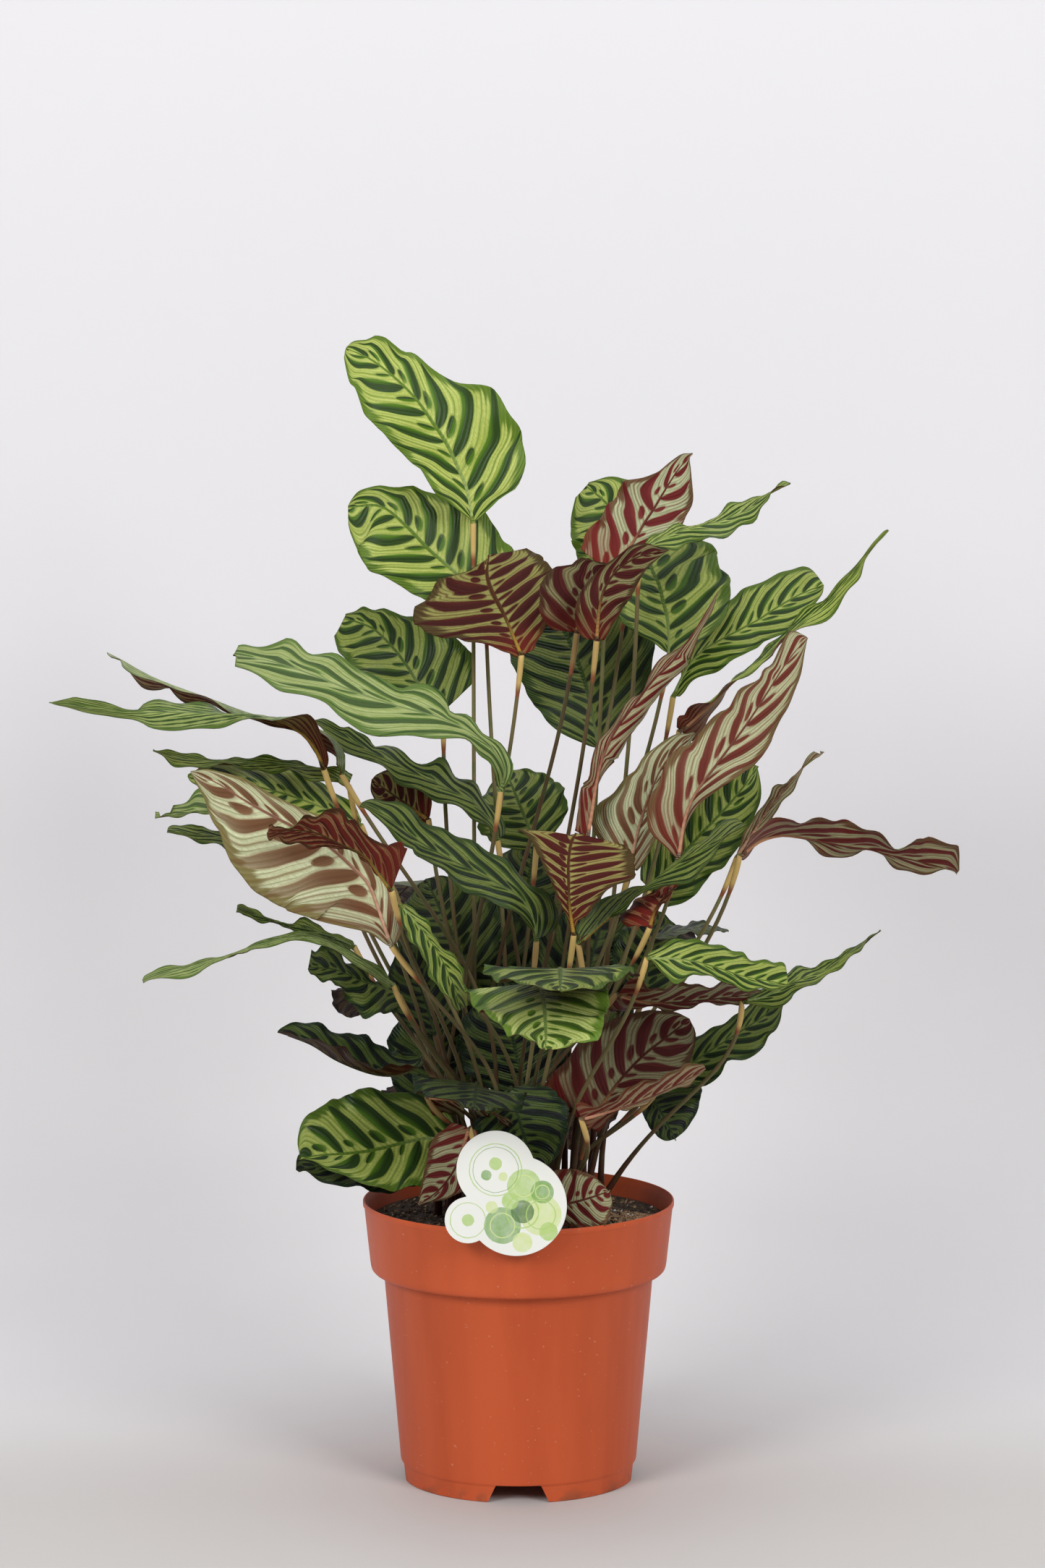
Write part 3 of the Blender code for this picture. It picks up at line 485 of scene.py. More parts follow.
def makeStalkMaterial():
    material, tree, shader = newMaterial("leafStalk", Roughness=stalkLook["roughness"],
                                         Specular_IOR_Level=stalkLook["specular"])
    along, _, _ = parts(tree, uvOf(tree, "blade"))
    seed, _, _ = valuesOf(tree, "leafPattern")
    paintedShade, _, _ = valuesOf(tree, "leafLook")
    fine = clouds(tree, vector(tree, times(tree, along, 9), seed, seed), 3.0)[0]
    low = mix(tree, soft(tree, fine, 0.3, 0.7), stalkLook["low"], stalkLook["dim"])
    high = mix(tree, soft(tree, fine, 0.45, 0.75), stalkLook["high"], stalkLook["green"])
    # painted shade: the upper stalk of a leaf deep in the plant takes the dark low colour
    high = mix(tree, paintedShade, high, low)
    colour = mix(tree, soft(tree, along, 0.02, 0.2), stalkLook["soil"], low)
    colour = mix(tree, soft(tree, along, 0.2, 0.6), colour, high)
    colour = mix(tree, soft(tree, along, *stalkLook["ringStart"]), colour, stalkLook["ring"])
    # painted shade: a deep leaf's joint takes the joint's darker copy
    joint = mix(tree, soft(tree, paintedShade, 0.55, 1.0), *stalkLook["joint"])
    colour = mix(tree, soft(tree, along, *stalkLook["jointStart"]), colour, joint)
    feed(tree, colour, shader.inputs["Base Color"])
    grain = clouds(tree, vector(tree, times(tree, along, 200), seed, seed), 3.0)[0]
    bump(tree, shader, grain, 0.2, stalkLook["relief"])
    return material


upperMaterial = makeBladeMaterial("leafUpperFace", upperFace)
underMaterial = makeBladeMaterial("leafUnderside", underside)
stalkMaterial = makeStalkMaterial()
print("leaf materials made")

# The leaves. x and z of a row are those that an eye in front of the plant sees on the plane y = 0, and
# a point's real place is on the same line of sight at its own y. A shape's numbers are in millimetres.

eye = {"x": 2.7, "height": 860.0, "distance": 3300.0, "lift": 1.5}

blade = {
    "thickness": 0.9,  # of the solid blade that a fine one stands for
    "bluntness": 0.6,  # below 1 the ends of a plain outline are fuller
    "ripples": 2.3,  # waves along a margin
    "stations": 64,  # rings of a fine blade
    "shortStations": 44,
    "shortLength": 112.0,
    "strips": (0.0, 0.035, 0.08, 0.14, 0.22, 0.31, 0.41, 0.52, 0.63, 0.74, 0.84, 0.92, 0.97, 1.0),
    "middle": 0.55,  # thickness beside the midrib and at the margin
    "edge": 0.28,
    "pleat": 0.55,  # how deep the blade is folded from one side vein to the next
    "lobeTurns": (4.3, 9.1),  # bulges along a margin, large and small
    "lobe": 0.028,  # how far they stand out from a plain outline, in shares of its half-width
    "seenLobe": 0.010,  # and from an outline that is given
    "limit": 0.72,  # how far out a given outline can carry the blade, in its widths
    "frill": 0.45,  # small waves of the very margin, in shares of the large ones
    "pairs": (4.4, 0.016),  # long blotches along one side: a number, and more for each millimetre of length
    "litAbove": 600.0,  # painted shade: leaves get darker from here down, over this far
    "dimming": 260.0,
}

stalk = {
    "soilTop": 177.0,
    "depth": 14.0,  # in the soil
    "innerRaise": 5.0,  # of a stalk that grows inside another one's sheath
    "collar": 4.0,  # how far above the soil the curve begins
    "firstPull": 0.45,  # the curve's first handle points up and its second one down from the joint
    "secondPull": 0.35,
    "secondBend": 0.6,
    "jointUp": 0.35,
    "jointLength": 26.0,
    "jointMark": 0.98,  # where the joint begins on the strip of colours along a stalk
    "sheathRadius": 2.75,
    "innerRadius": 1.7,
    "sheathReach": 0.28,
    "radius": 1.5,
    "thinning": 0.15,
    "jointRadius": 2.0,
    "bladeRadius": 1.45,  # of the midrib under a blade, at its base and at its end
    "ribEnd": 0.35,
    "ribReach": 0.93,
    "ribSteps": 26,
    "ribSink": 0.42,
    "pieces": 22,
    "sides": 10,
    "solidRadius": 1.9,  # of the solid stalk that a fine one stands for
    "spacing": 7.6,  # of the places where stalks root
    "pull": 0.34,  # towards the place under a leaf's base
}


def leaf(name, base, tip, width, roll=0, arch=(0, 0), sway=(0, 0), curl=(0, 0), **more):
    row = {"name": name, "base": base, "tip": tip, "width": width, "roll": roll, "arch": arch, "sway": sway}
    row["curl"] = (math.radians(curl[0]), math.radians(curl[1]))
    row["fold"] = math.radians(more.pop("fold", 0))
    row["twist"] = math.radians(more.pop("twist", 0))
    usual = {"wave": 2, "skew": 0, "widest": 0.43, "stemOf": None}
    return {**usual, **row, **more}


leaves = [
    # The fan in the middle
    leaf("front_fan", (37, 368, -118), (30, 440, -70), 90, 180, (-14, 0), skew=-0.1, widest=0.68),
    # Low down
    leaf("label_left", (-33, 237, -75), (-68, 185, -75), 48, 180, (4, 0)),
    leaf("low_left", (-40, 227, -55), (-148, 215, -105), 72, 26, (8, 0), (4, 0), wave=2.5, skew=0.1),
    leaf("low_left_back", (-58, 206, -25), (-150, 208, -60), 54, 38, (8, 0), wave=3, stemOf="low_left"),
    leaf("label_right", (18, 180, -80), (62, 194, -93), 46, 180, (-3, 0), wave=1.5),
    leaf("front_low", (-28, 267, -75), (-30, 249, -165), 74, 0, (5, 0), wave=3),
    leaf("low_burgundy", (-62, 258, -60), (-4, 240, -75), 40, -118, (4, 0)),
    leaf("low_right_red", (46, 238, -60), (110, 312, -35), 90, 180, (-6, 0), (-4, 0), (0, -20)),
    leaf("low_right_flap", (50, 244, -115), (126, 277, -115), 50, -128, (-4, 0), wave=2.5),
    leaf("low_right_green", (95, 265, -20), (177, 322, -10), 58, -32, (6, 0), wave=3),
    leaf("low_right_small", (86, 262, 10), (106, 228, -10), 44, -8, (6, 0), stemOf="low_right_green"),
    leaf("low_middle", (-8, 264, -35), (27, 210, -55), 50, 10, (6, 0)),
    # The front, and the large ones behind it
    leaf("right_rolled", (46, 433, -45), (128, 594, -30), 40, 180, (0, 0), (15, 5), (130, 130)),
    leaf("right_pale", (74, 412, -35), (118, 506, -15), 62, 180, (-6, 0), (4, 0), (15, 15), skew=0.1),
    leaf("right_red", (107, 418, -65), (190, 568, -50), 50, 180, (-4, 0), (9, 0), (15, 15), skew=-0.15),
    leaf("left_pale", (-85, 360, -120), (-218, 477, -115), 94, 180, (0, 0), (-20, -3), (80, 5),
         skew=0.15),
    leaf("left_red", (-85, 398, -150), (-167, 436, -145), 56, 135, (20, 0), wave=3),
    leaf("left_long_thin", (-130, 480, -70), (-312, 526, -105), 40, 88, (30, 9), wave=3, fold=-12),
    leaf("left_high_thin", (-118, 476, -30), (-272, 557, -10), 50, 90, (6, 14), wave=3, twist=90),
    leaf("left_edge", (-113, 468, -30), (-243, 491, -30), 54, 84, (5, 4), wave=3, twist=20),
    leaf("front_right_thin", (40, 362, -90), (153, 443, -80), 44, -68, (6, 0), wave=2),
    leaf("front_small_red", (77, 368, -85), (106, 402, -55), 34, 170, (0, 0), (4, 0), (70, 60)),
    leaf("right_light", (82, 345, -115), (183, 338, -110), 50, -60, (8, 0), wave=3),
    leaf("right_low_long", (150, 323, -65), (242, 369, -60), 32, -66, (-4, 2), wave=2, twist=-40),
    leaf("right_burgundy", (66, 328, -60), (163, 329, -60), 58, -112, (4, 0), wave=2.5),
    leaf("right_small_tip", (90, 366, 10), (141, 371, 10), 34, -84, (4, 0)),
    leaf("front_face", (14, 336, -120), (13, 288, -230), 96, 0, (6, 0), wave=3),
    leaf("front_flat", (28, 345, -95), (28, 330, -205), 98, 0, (5, 0), wave=3),
    leaf("front_drooping", (-79, 388, -120), (-38, 318, -130), 44, -60, (6, 0)),
    leaf("left_wavy", (-80, 327, -60), (-141, 346, -70), 56, 42, (8, 0), wave=4),
    leaf("left_small_thin", (-110, 360, -60), (-189, 382, -60), 34, 84, (2, 6)),
    leaf("left_low_thin", (-84, 334, -85), (-252, 336, -100), 26, 80, (16, 5)),
    leaf("left_purple", (-65, 285, -80), (-162, 302, -95), 56, 82, (6, 2), fold=30, wave=3),
    # The crown, left side
    leaf("crown_high", (-30, 644, 60), (-114, 760, 90), 80, 0, (8, 0), (18, 3),
         wave=2.5, skew=0.12, widest=0.36),
    leaf("crown_second", (-22, 588, 70), (-113, 655, 95), 82, 10, (6, 0), (8, 0), wave=2.5, widest=0.4),
    leaf("crown_middle", (2, 556, -20), (-24, 622, 65), 94, 180, (-12, 0), (4, 0),
         skew=0.15, widest=0.47),
    leaf("crown_fourth", (-50, 518, 50), (-116, 581, 115), 74, 0, (6, 0), (8, 0), wave=2.5),
    # The crown, right side
    leaf("crown_back_right", (72, 600, 95), (64, 673, 120), 66, 0, (6, 0)),
    leaf("crown_red", (58, 612, 15), (114, 689, 45), 52, 180, (4, 0), wave=3, widest=0.36),
    leaf("crown_thin_right", (80, 625, 5), (180, 667, 20), 42, -74, (-6, -3), wave=3),
    leaf("crown_low_b", (52, 566, -45), (98, 625, -25), 46, 180, (-4, 0), (5, 0), wave=3),
    leaf("crown_low_a", (39, 571, -25), (58, 618, 10), 50, 180, (-6, 0), (6, 0), wave=3, skew=0.15),
    leaf("right_upper", (100, 554, 55), (82, 645, 125), 82, 0, (6, 0), (6, 0),
         wave=2.5, stemOf="crown_back_right"),
    leaf("right_far", (103, 528, 45), (203, 606, 80), 58, -25, (8, 0), wave=3),
    leaf("right_twisted", (107, 505, 0), (245, 638, 0), 38, -86, (0, 4), (0, 0), (40, 40),
         wave=3, twist=40),
    leaf("centre_back", (53, 494, 75), (12, 600, 145), 94, 0, (6, 0), (8, 0),
         wave=2.5, stemOf="crown_second"),
    leaf("right_green", (88, 398, 15), (160, 482, 30), 68, -20, (8, 0), wave=2.5),
    leaf("right_pink_thin", (146, 420, -15), (200, 491, 0), 28, -240, (0, 3), (0, 0), (60, 60), wave=2),
    leaf("right_long", (148, 421, -45), (294, 422, 0), 40, -125, (17, 6), wave=4, widest=0.6),
    # The left side
    leaf("left_light", (-12, 465, -65), (-190, 556, -55), 66, 60, (26, 2), (0, 0), (-25, 10),
         wave=3, widest=0.5),
    leaf("left_dark", (-14, 432, 5), (-141, 514, 5), 60, 65, (8, 2), (0, 0), (-20, 0), wave=3),
    leaf("front_left", (12, 364, -100), (-105, 457, -95), 64, 60, (9, 2), (0, 0), (-20, 10), wave=2.5),
    leaf("left_green_a", (-105, 442, -35), (-221, 475, -50), 58, 55, (8, 0), wave=3),
    leaf("left_green_b", (-125, 438, 15), (-243, 447, 10), 50, 60, (12, 0), wave=3),
    leaf("left_green_c", (-118, 412, 45), (-235, 438, 40), 46, 60, (6, 0),
         wave=3, stemOf="left_green_b"),
    leaf("left_olive", (-60, 446, 35), (-98, 473, 60), 44, 160, stemOf="crown_fourth"),
    # The dark middle
    leaf("middle_dark", (-32, 342, 30), (-62, 406, 75), 74, 0, (6, 0)),
    leaf("middle_left", (-56, 300, -10), (-76, 362, 10), 46, 10, (4, 0), stemOf="middle_dark"),
    leaf("middle_high", (12, 428, 60), (-8, 478, 105), 64, 0, (6, 0)),
    leaf("middle_a", (-10, 305, 20), (-30, 392, 60), 80, 0, (8, 0), stemOf="middle_high"),
    leaf("middle_b", (34, 300, 45), (60, 392, 85), 82, 0, (8, 0)),
    leaf("middle_c", (0, 350, 75), (10, 430, 115), 80, 0, (8, 0), stemOf="middle_b"),
    leaf("middle_d", (4, 262, 20), (-6, 326, 40), 58, 0, (8, 0), stemOf="low_middle"),
    leaf("middle_e", (-52, 246, 5), (-62, 312, 35), 60, 0, (6, 0), stemOf="middle_dark"),
    leaf("middle_f", (84, 326, 35), (92, 385, 60), 50, 0, (6, 0), stemOf="right_small_tip"),
    # The back
    leaf("back_a", (-50, 400, 110), (-88, 380, 200), 80, None, (14, 0)),
    leaf("back_b", (22, 405, 120), (40, 392, 215), 84, None, (14, 0)),
    leaf("back_c", (64, 372, 100), (104, 352, 180), 72, None, (12, 0), stemOf="back_b"),
    leaf("back_d", (-70, 335, 85), (-112, 312, 160), 70, None, (12, 0), stemOf="back_a"),
    leaf("back_e", (0, 335, 110), (-12, 308, 205), 82, None, (14, 0)),
    leaf("back_f", (56, 296, 95), (92, 268, 175), 72, None, (12, 0), stemOf="back_e"),
    leaf("back_g", (-40, 270, 80), (-74, 240, 160), 70, None, (12, 0)),
    leaf("back_h", (20, 255, 90), (30, 222, 175), 74, None, (12, 0), stemOf="back_g"),
]

# What only the look of a leaf needs: how deep the painted shade on its colours is, from 0 in the crown to
# 1 low down, then how pale its underside is, or below zero how much painted sheen lightens its upper face,
# and how red its underside is

shades = {
    "crown_high": (0.0,), "crown_second": (0.1,), "crown_fourth": (0.5,),
    "centre_back": (0.75,), "crown_back_right": (0.25,), "right_upper": (0.4,),
    "crown_red": (0.2, 0.5), "crown_middle": (0.35, 0.0), "crown_low_a": (0.85, 0.1),
    "crown_low_b": (0.7, 0.1), "crown_thin_right": (0.35, -0.1), "right_far": (0.25,),
    "left_light": (0.6, -0.35), "left_pale": (0.45, 0.9), "right_pale": (0.35, 0.85),
    "right_red": (0.35, 0.6, 0.1), "right_rolled": (0.45, 0.5, 0.3), "left_red": (0.5, 0.0, 0.9),
    "front_fan": (0.3, 0.0, 0.15), "low_right_red": (1.0, 0.16), "front_drooping": (0.35,),
    "front_face": (0.0, -0.25),
    "front_flat": (0.6,), "right_light": (0.3,), "low_left": (0.42,), "right_green": (0.5,),
    "left_dark": (0.7,), "front_left": (0.8,), "label_left": (0.6, 0.42, 0.1),
    "label_right": (0.6, 0.42, 0.1), "left_high_thin": (0.4, -0.3, 0.4), "left_long_thin": (0.5, -0.2),
    "low_right_flap": (0.5, 0.6, 0.5), "low_burgundy": (0.85, 0.25), "right_burgundy": (0.85, 0.25),
    "front_small_red": (0.5, 0.0, 1.0), "right_long": (0.35, 0.4, 0.2), "right_pink_thin": (0.1, 0.9, 0.3),
    "front_right_thin": (0.7,), "left_wavy": (0.85,), "low_right_green": (0.8,), "left_edge": (0.3,),
    "right_twisted": (0.15, 0.4, 0.3), "left_green_a": (0.0,), "left_green_b": (0.3, -0.4),
    "left_green_c": (0.6,), "right_low_long": (0.5,), "left_low_thin": (0.5, -0.4),
    "left_small_thin": (0.6,),
}

# The fine form of a leaf, where it is more than its row: `rib` and `edge` are points of the midrib and of
# the outline as seen on the plane y = 0, and the rest takes the place of what the row says

details = {
    "crown_high": {
        "rib": (-34, 665, -40, 680, -48, 697, -57, 711, -68, 727, -82, 741, -98, 753),
        "edge": (-115, 757, -113, 762, -108, 765, -100, 766, -95, 768.5, -88, 767, -82, 762, -76, 758,
                 -69, 757, -57, 747, -50, 742, -42, 738, -35, 736.5, -19, 735, -14, 731, -8, 719, 0, 709,
                 3, 700, 4.5, 684, 0, 670, -5, 665, -12, 661, -20, 653, -29, 646, -36, 650, -45, 657,
                 -55, 664, -64, 679, -71, 684, -83, 697, -90, 704, -98, 712, -104, 721, -108, 733,
                 -112, 738, -115, 752),
        "sweep": 1.35, "pairs": 6.6,
    },
    "crown_second": {
        "rib": (-28, 597, -42, 611, -60, 627, -75, 643, -92, 656),
        "edge": (-114, 650, -112, 658, -107, 664, -100, 667.5, -92, 669.5, -84, 668, -77, 668, -70, 669.5,
                 -62, 666, -45, 662, -35, 659, -22, 652, -15, 641, -10, 633, -4, 628, -1, 618, -2, 606,
                 -10, 594, -20, 586, -30, 583, -45, 584, -58, 590, -72, 599, -90, 609, -99, 613, -104, 620,
                 -111, 636, -113, 643),
        "sweep": 1.35, "pairs": 6.2,
    },
    "crown_middle": {
        "rib": (-3, 568, -8, 580, -13, 590, -18, 600, -21, 611), "tip": (-20, 623, 65),
        "edge": (3, 553.5, -5, 557, -15, 561, -30, 564, -42, 568, -60, 571.5, -66, 575, -70, 577, -70, 582,
                 -68, 588, -62, 590, -60, 596, -54, 607, -48, 607, -40, 608.5, -33, 613, -26, 618, -18, 622,
                 -10, 626, -2, 628, 6, 627, 13, 623, 19, 618, 24, 612, 27, 604, 25, 596, 21, 588, 17, 575,
                 13, 566, 9, 558),
        "sweep": 1.0, "pairs": 7.0,
    },
    "crown_fourth": {
        "rib": (-66, 536, -75, 550, -85, 563, -98, 575),
        "edge": (-122, 570, -120, 578, -116, 583, -108, 586, -102, 588, -96, 586, -90, 588, -84, 586,
                 -77, 583, -68, 583, -55, 576, -45, 569, -37, 564, -31, 556, -29, 545, -31, 537, -36, 528,
                 -44, 521, -52, 516, -60, 516, -75, 521, -90, 530, -104, 542, -117, 555, -121, 562),
        "sweep": 1.35, "pairs": 6.2,
    },
    "crown_back_right": {
        "rib": (74, 625, 66, 648, 56, 660), "tip": (45, 669, 120),
        "edge": (38, 625, 36, 630, 34.5, 638, 35, 648, 37, 658, 40, 665, 45, 670, 52, 673, 60, 674.5,
                 68, 674.5, 76, 671, 84, 660, 90, 640, 88, 618, 78, 602, 66, 597, 52, 603, 42, 614),
        "pairs": 6.2,
    },
    "crown_red": {
        "rib": (67, 622, 75, 630, 84, 645, 90, 654, 97, 666, 106, 680), "tip": (115.5, 690.5, 45),
        "edge": (115.5, 690.5, 115.5, 690.5, 113.5, 687, 114.5, 678, 115.5, 668, 115.5, 657, 112, 650,
                 109, 643, 102, 637, 92, 628, 78, 616, 66, 607, 55, 605, 42, 608, 30, 612, 23.5, 617,
                 27, 623, 38, 625, 42, 629, 46, 640, 55, 648, 59, 657, 64, 661, 67, 667, 70, 672, 75, 673,
                 84, 675, 92, 678, 98, 683, 103, 687, 109, 690.5),
        "width": 74, "pairs": 5.0,
    },
    "crown_thin_right": {
        "rib": (100, 636, 115, 641, 135, 646, 150, 652, 165, 663), "tip": (180.5, 670.5, 20),
        "edge": (180.5, 670.3, 176, 672.5, 173, 670, 168, 667, 163, 664.5, 155, 661, 145, 657, 135, 652,
                 125, 647, 115, 644, 105, 642, 95, 637, 86, 633, 80, 626, 90, 627, 105, 629, 115, 633,
                 124, 632, 131, 631.5, 138, 634, 143, 638, 147, 644, 150, 646, 156, 648, 161, 653, 166, 660,
                 170, 667.5, 176, 669),
        "roll": -62, "sweep": 2.0,
    },
    "crown_low_a": {
        "rib": (40, 585, 43, 598, 48, 607, 55, 613, 63, 618), "tip": (70, 623, 10),
        "edge": (39, 568, 30, 571, 20, 576, 14, 585, 14, 600, 20, 612, 27, 617, 34, 616, 39, 619, 44, 620.5,
                 50, 619, 56, 617.5, 62, 619, 68, 624, 71, 622, 62, 608, 54, 598, 48, 585, 44, 572),
        "width": 62, "pairs": 5.0,
    },
    "crown_low_b": {
        "rib": (53, 580, 55, 594, 60, 606, 68, 615, 80, 622), "tip": (100, 626.5, -25),
        "edge": (53, 563.5, 45, 567, 40, 572, 37, 584, 41, 598, 50, 610, 58, 617, 68, 624, 74, 629, 80, 631,
                 86, 631, 91, 629.5, 95, 627.5, 100, 626.5, 100, 626.5, 97, 624, 90, 618.5, 84, 612,
                 80, 605, 76, 597, 70, 588, 65, 580, 60, 572, 56, 565),
        "width": 56, "pairs": 5.5,
    },
    "right_upper": {
        "rib": (100, 567, 99, 580, 96, 592, 93, 604, 88, 615),
        "edge": (104, 557, 96, 559.5, 88, 566, 75, 572, 67, 583, 64, 596, 64, 612, 70, 628, 80, 640,
                 95, 643, 108, 637, 118, 634.5, 125, 632, 129, 630, 132, 624, 133, 618, 135, 612, 139, 610,
                 141.5, 600, 140, 590, 136, 581, 128, 571, 118, 564, 110, 559),
        "width": 92, "pairs": 5.6,
    },
    "right_far": {
        "rib": (106, 535, 112, 547, 120, 557, 130, 564, 145, 572, 160, 580, 172, 588, 188, 597),
        "tip": (203, 603, 80),
        "edge": (106, 528, 108, 540, 112, 558, 120, 570, 135, 588, 142, 594, 150, 599, 160, 605, 170, 610,
                 178, 613.5, 188, 615.5, 196, 613.5, 201, 609, 203, 604, 202, 597, 197, 590, 188, 580,
                 178, 572, 168, 568, 163, 566, 158, 560, 152, 555.5, 143, 553, 135, 547, 125, 544, 115, 538,
                 110, 531),
        "sweep": 1.5, "pairs": 7.5,
    },
    "right_twisted": {
        "rib": (114, 511, 126, 522, 142, 538, 152, 546, 166, 557, 185, 575, 203, 589, 218, 606, 232, 624),
        "tip": (246, 639.5, 0),
        "edge": (106, 506, 107, 514, 112, 514.5, 115, 521, 120, 525, 128, 527, 140, 541, 150, 548, 154, 555,
                 162, 563, 172, 570, 185, 580, 195, 588, 203, 592, 212, 603, 222, 616, 233, 628, 242, 638.5,
                 246, 639.5, 240, 633, 231, 619, 227, 608, 220, 600, 212, 590, 203, 581, 195, 576, 185, 572,
                 176, 566, 171, 554, 162, 548, 155, 545, 147, 540, 138, 528, 128, 514, 119, 500, 110, 501),
        "roll": -72, "twist": 110, "curl": (0, 0), "sweep": 2.0,
    },
    "centre_back": {
        "rib": (50, 513, 45, 535, 38, 555, 28, 577),
        "edge": (54, 494, 42, 498, 30, 503, 20, 511, 10, 524, 2, 538, -5, 553, -8, 570, -2, 588, 14, 603,
                 40, 610, 66, 600, 82, 583, 90, 566, 91, 557, 88, 544, 82, 527, 72, 508, 62, 497),
        "sweep": 1.4, "pairs": 7.5,
    },
    "right_rolled": {
        "rib": (49, 450, 52, 470, 57, 490, 66, 508, 78, 524, 90, 540, 103, 553, 117, 572),
        "tip": (133, 599, -30),
        "edge": (42, 436, 35, 441, 32, 450, 33, 458, 35, 464, 40, 469, 45, 471, 48, 475, 50, 485, 53, 500,
                 58, 505, 64, 512, 70, 524, 75, 529, 82, 531, 88, 543, 95, 554, 107, 561, 117, 572,
                 133, 599, 133, 599, 128, 584, 120, 570, 116, 560, 113, 550, 110, 542, 98, 532, 93, 526,
                 91, 519, 88, 512, 76, 500, 70, 492, 60, 480, 52, 465, 50, 455, 48, 445, 47, 437),
        "width": 34, "curl": (105, 105), "sweep": 2.2, "pairs": 7.0,
    },
    "right_pale": {
        "rib": (80, 438, 88, 464, 99, 486), "tip": (118, 504, -15),
        "edge": (74, 411, 62, 420, 54, 432, 50, 447, 54, 457, 64, 466, 72, 475, 78, 479, 86, 490, 95, 498,
                 106, 504, 112, 504, 118, 504, 112, 492, 104, 474, 98, 450, 90, 428, 80, 412),
        "curl": (15, 40), "sweep": 2.2, "pairs": 5.0,
    },
    "right_red": {
        "rib": (111, 445, 118, 463, 133, 484, 150, 507, 160, 522, 175, 546, 182, 556),
        "tip": (192.5, 568, -50),
        "edge": (107, 419, 98, 428, 91, 434, 87, 440, 85.5, 448, 86, 456, 90, 464, 94, 470, 99, 485,
                 108, 495, 114, 497, 123, 508, 134, 518, 140, 521, 144, 528, 148, 534, 160, 540, 163, 547,
                 169, 551, 175, 564, 181, 572.5, 189, 570.5, 192.5, 568, 192.5, 568, 191, 560, 187, 540,
                 180, 522, 175, 513, 171, 504, 168, 496, 158, 483, 150, 478, 135, 467, 120, 455, 112, 440,
                 110, 424),
        "width": 56, "sweep": 1.5, "pairs": 5.5,
    },
    "right_pink_thin": {
        "rib": (158, 438, 168, 454, 178, 466, 188, 479), "tip": (204, 491.5, 0),
        "edge": (146, 420, 148, 430, 155, 442, 163, 457, 168, 463, 170, 468, 174, 470, 180, 470, 188, 480,
                 193, 489, 196, 492, 200, 492.5, 204, 491.5, 204, 491.5, 199, 491, 195, 487, 191, 482,
                 187, 473, 184, 468, 176, 457, 170, 445, 162, 437, 155, 430, 150, 421),
        "roll": -215, "curl": (0, 0), "sweep": 2.2,
    },
    "right_green": {
        "rib": (104, 416, 122, 436, 140, 455, 152, 470),
        "edge": (90, 388, 82, 400, 84, 425, 95, 450, 110, 468, 130, 480, 148, 485, 158, 483, 161, 475,
                 162.5, 465, 161.5, 457, 158, 450, 155, 442, 147, 427, 143, 420, 137, 413, 130, 410,
                 124, 404, 119, 396, 112, 391, 102, 387),
        "sweep": 1.6,
    },
    "front_fan": {
        "rib": (34.5, 385, 33.5, 400, 33, 415, 34.5, 428), "tip": (38, 437, -70),
        "edge": (36, 368, 33, 379, 26, 393, 24, 400, 16, 415, 12, 425, 7, 435, 0, 441, 10, 440, 22, 439,
                 30, 436.5, 38, 436, 48, 437, 55, 437, 65, 433, 70, 429, 75, 426, 77, 422, 78, 416, 78, 410,
                 77, 405, 68, 403, 60, 398, 52, 390, 45, 380, 40, 378),
        "sweep": 0.8, "pairs": 9.0,
    },
    "right_long": {
        "rib": (160, 431, 175, 435.5, 190, 434, 205, 431, 220, 428, 235, 426, 250, 422, 272, 417),
        "tip": (294, 410.5, 0),
        "edge": (149, 419, 148, 427, 152, 431, 158, 436, 165, 442, 175, 449, 182, 448.5, 190, 446.5,
                 200, 450, 206, 450, 210, 448.5, 220, 441, 227, 439.5, 240, 439.5, 250, 431.5, 256, 430,
                 266, 433.5, 271, 431, 281, 434, 289, 431, 294, 428, 295, 416, 294, 410, 284, 414,
                 276, 412.5, 268, 411.5, 260, 412, 250, 415, 236, 424, 230, 424, 224, 422, 216, 420.5,
                 209, 422, 202, 427, 195, 431, 185, 433, 175, 434, 165, 431, 158, 427, 152, 421),
        "sweep": 2.4, "pairs": 4.5,
    },
    "right_low_long": {
        "rib": (165, 326, 185, 336, 205, 344, 222, 356), "tip": (243, 371, -60),
        "edge": (150, 322, 156, 329, 170, 333, 180, 343, 187, 348.5, 195, 347, 200, 347, 208, 349.5,
                 215, 353, 222, 359, 230, 364, 243, 371, 243, 371, 238, 367, 234, 362, 230, 357.5, 225, 355,
                 220, 351, 210, 343, 204, 337, 199, 333, 193, 331, 185, 329.5, 182, 325, 178, 321, 172, 319,
                 165, 319, 156, 320),
        "width": 44, "sweep": 2.0,
    },
    "left_purple": {"rib": (-72, 277, -84, 273, -100, 274.5, -122, 283, -140, 294)},
    "left_low_thin": {
        "rib": (-100, 347, -120, 360, -140, 367, -165, 364, -190, 356, -215, 348, -235, 343),
        "edge": (-84, 331, -96, 338, -110, 347, -125, 357, -132, 361, -140, 365, -150, 365.5, -162, 362.5,
                 -178, 357, -183, 354, -190, 353.5, -203, 349, -210, 345, -218, 341, -238, 338.5,
                 -248, 337.5, -252, 335, -250, 341, -236, 346, -225, 347, -215, 350.5, -205, 353,
                 -195, 354.5, -175, 363, -165, 366, -155, 367, -145, 369.5, -134, 369, -120, 364, -105, 354,
                 -90, 342),
        "roll": 60, "sweep": 2.4,
    },
    "left_small_thin": {
        "rib": (-125, 367, -145, 373, -165, 378), "tip": (-188.5, 387, -60),
        "edge": (-189, 384, -188, 389, -180, 386.5, -172, 381.5, -163, 379, -152, 375, -146, 378,
                 -140, 377.5, -134, 374.5, -128, 372, -120, 368, -112, 364, -108, 357, -116, 360, -125, 363,
                 -138, 366.5, -148, 370, -158, 373, -168, 376, -176, 378, -182, 382),
        "roll": 66, "sweep": 2.4,
    },
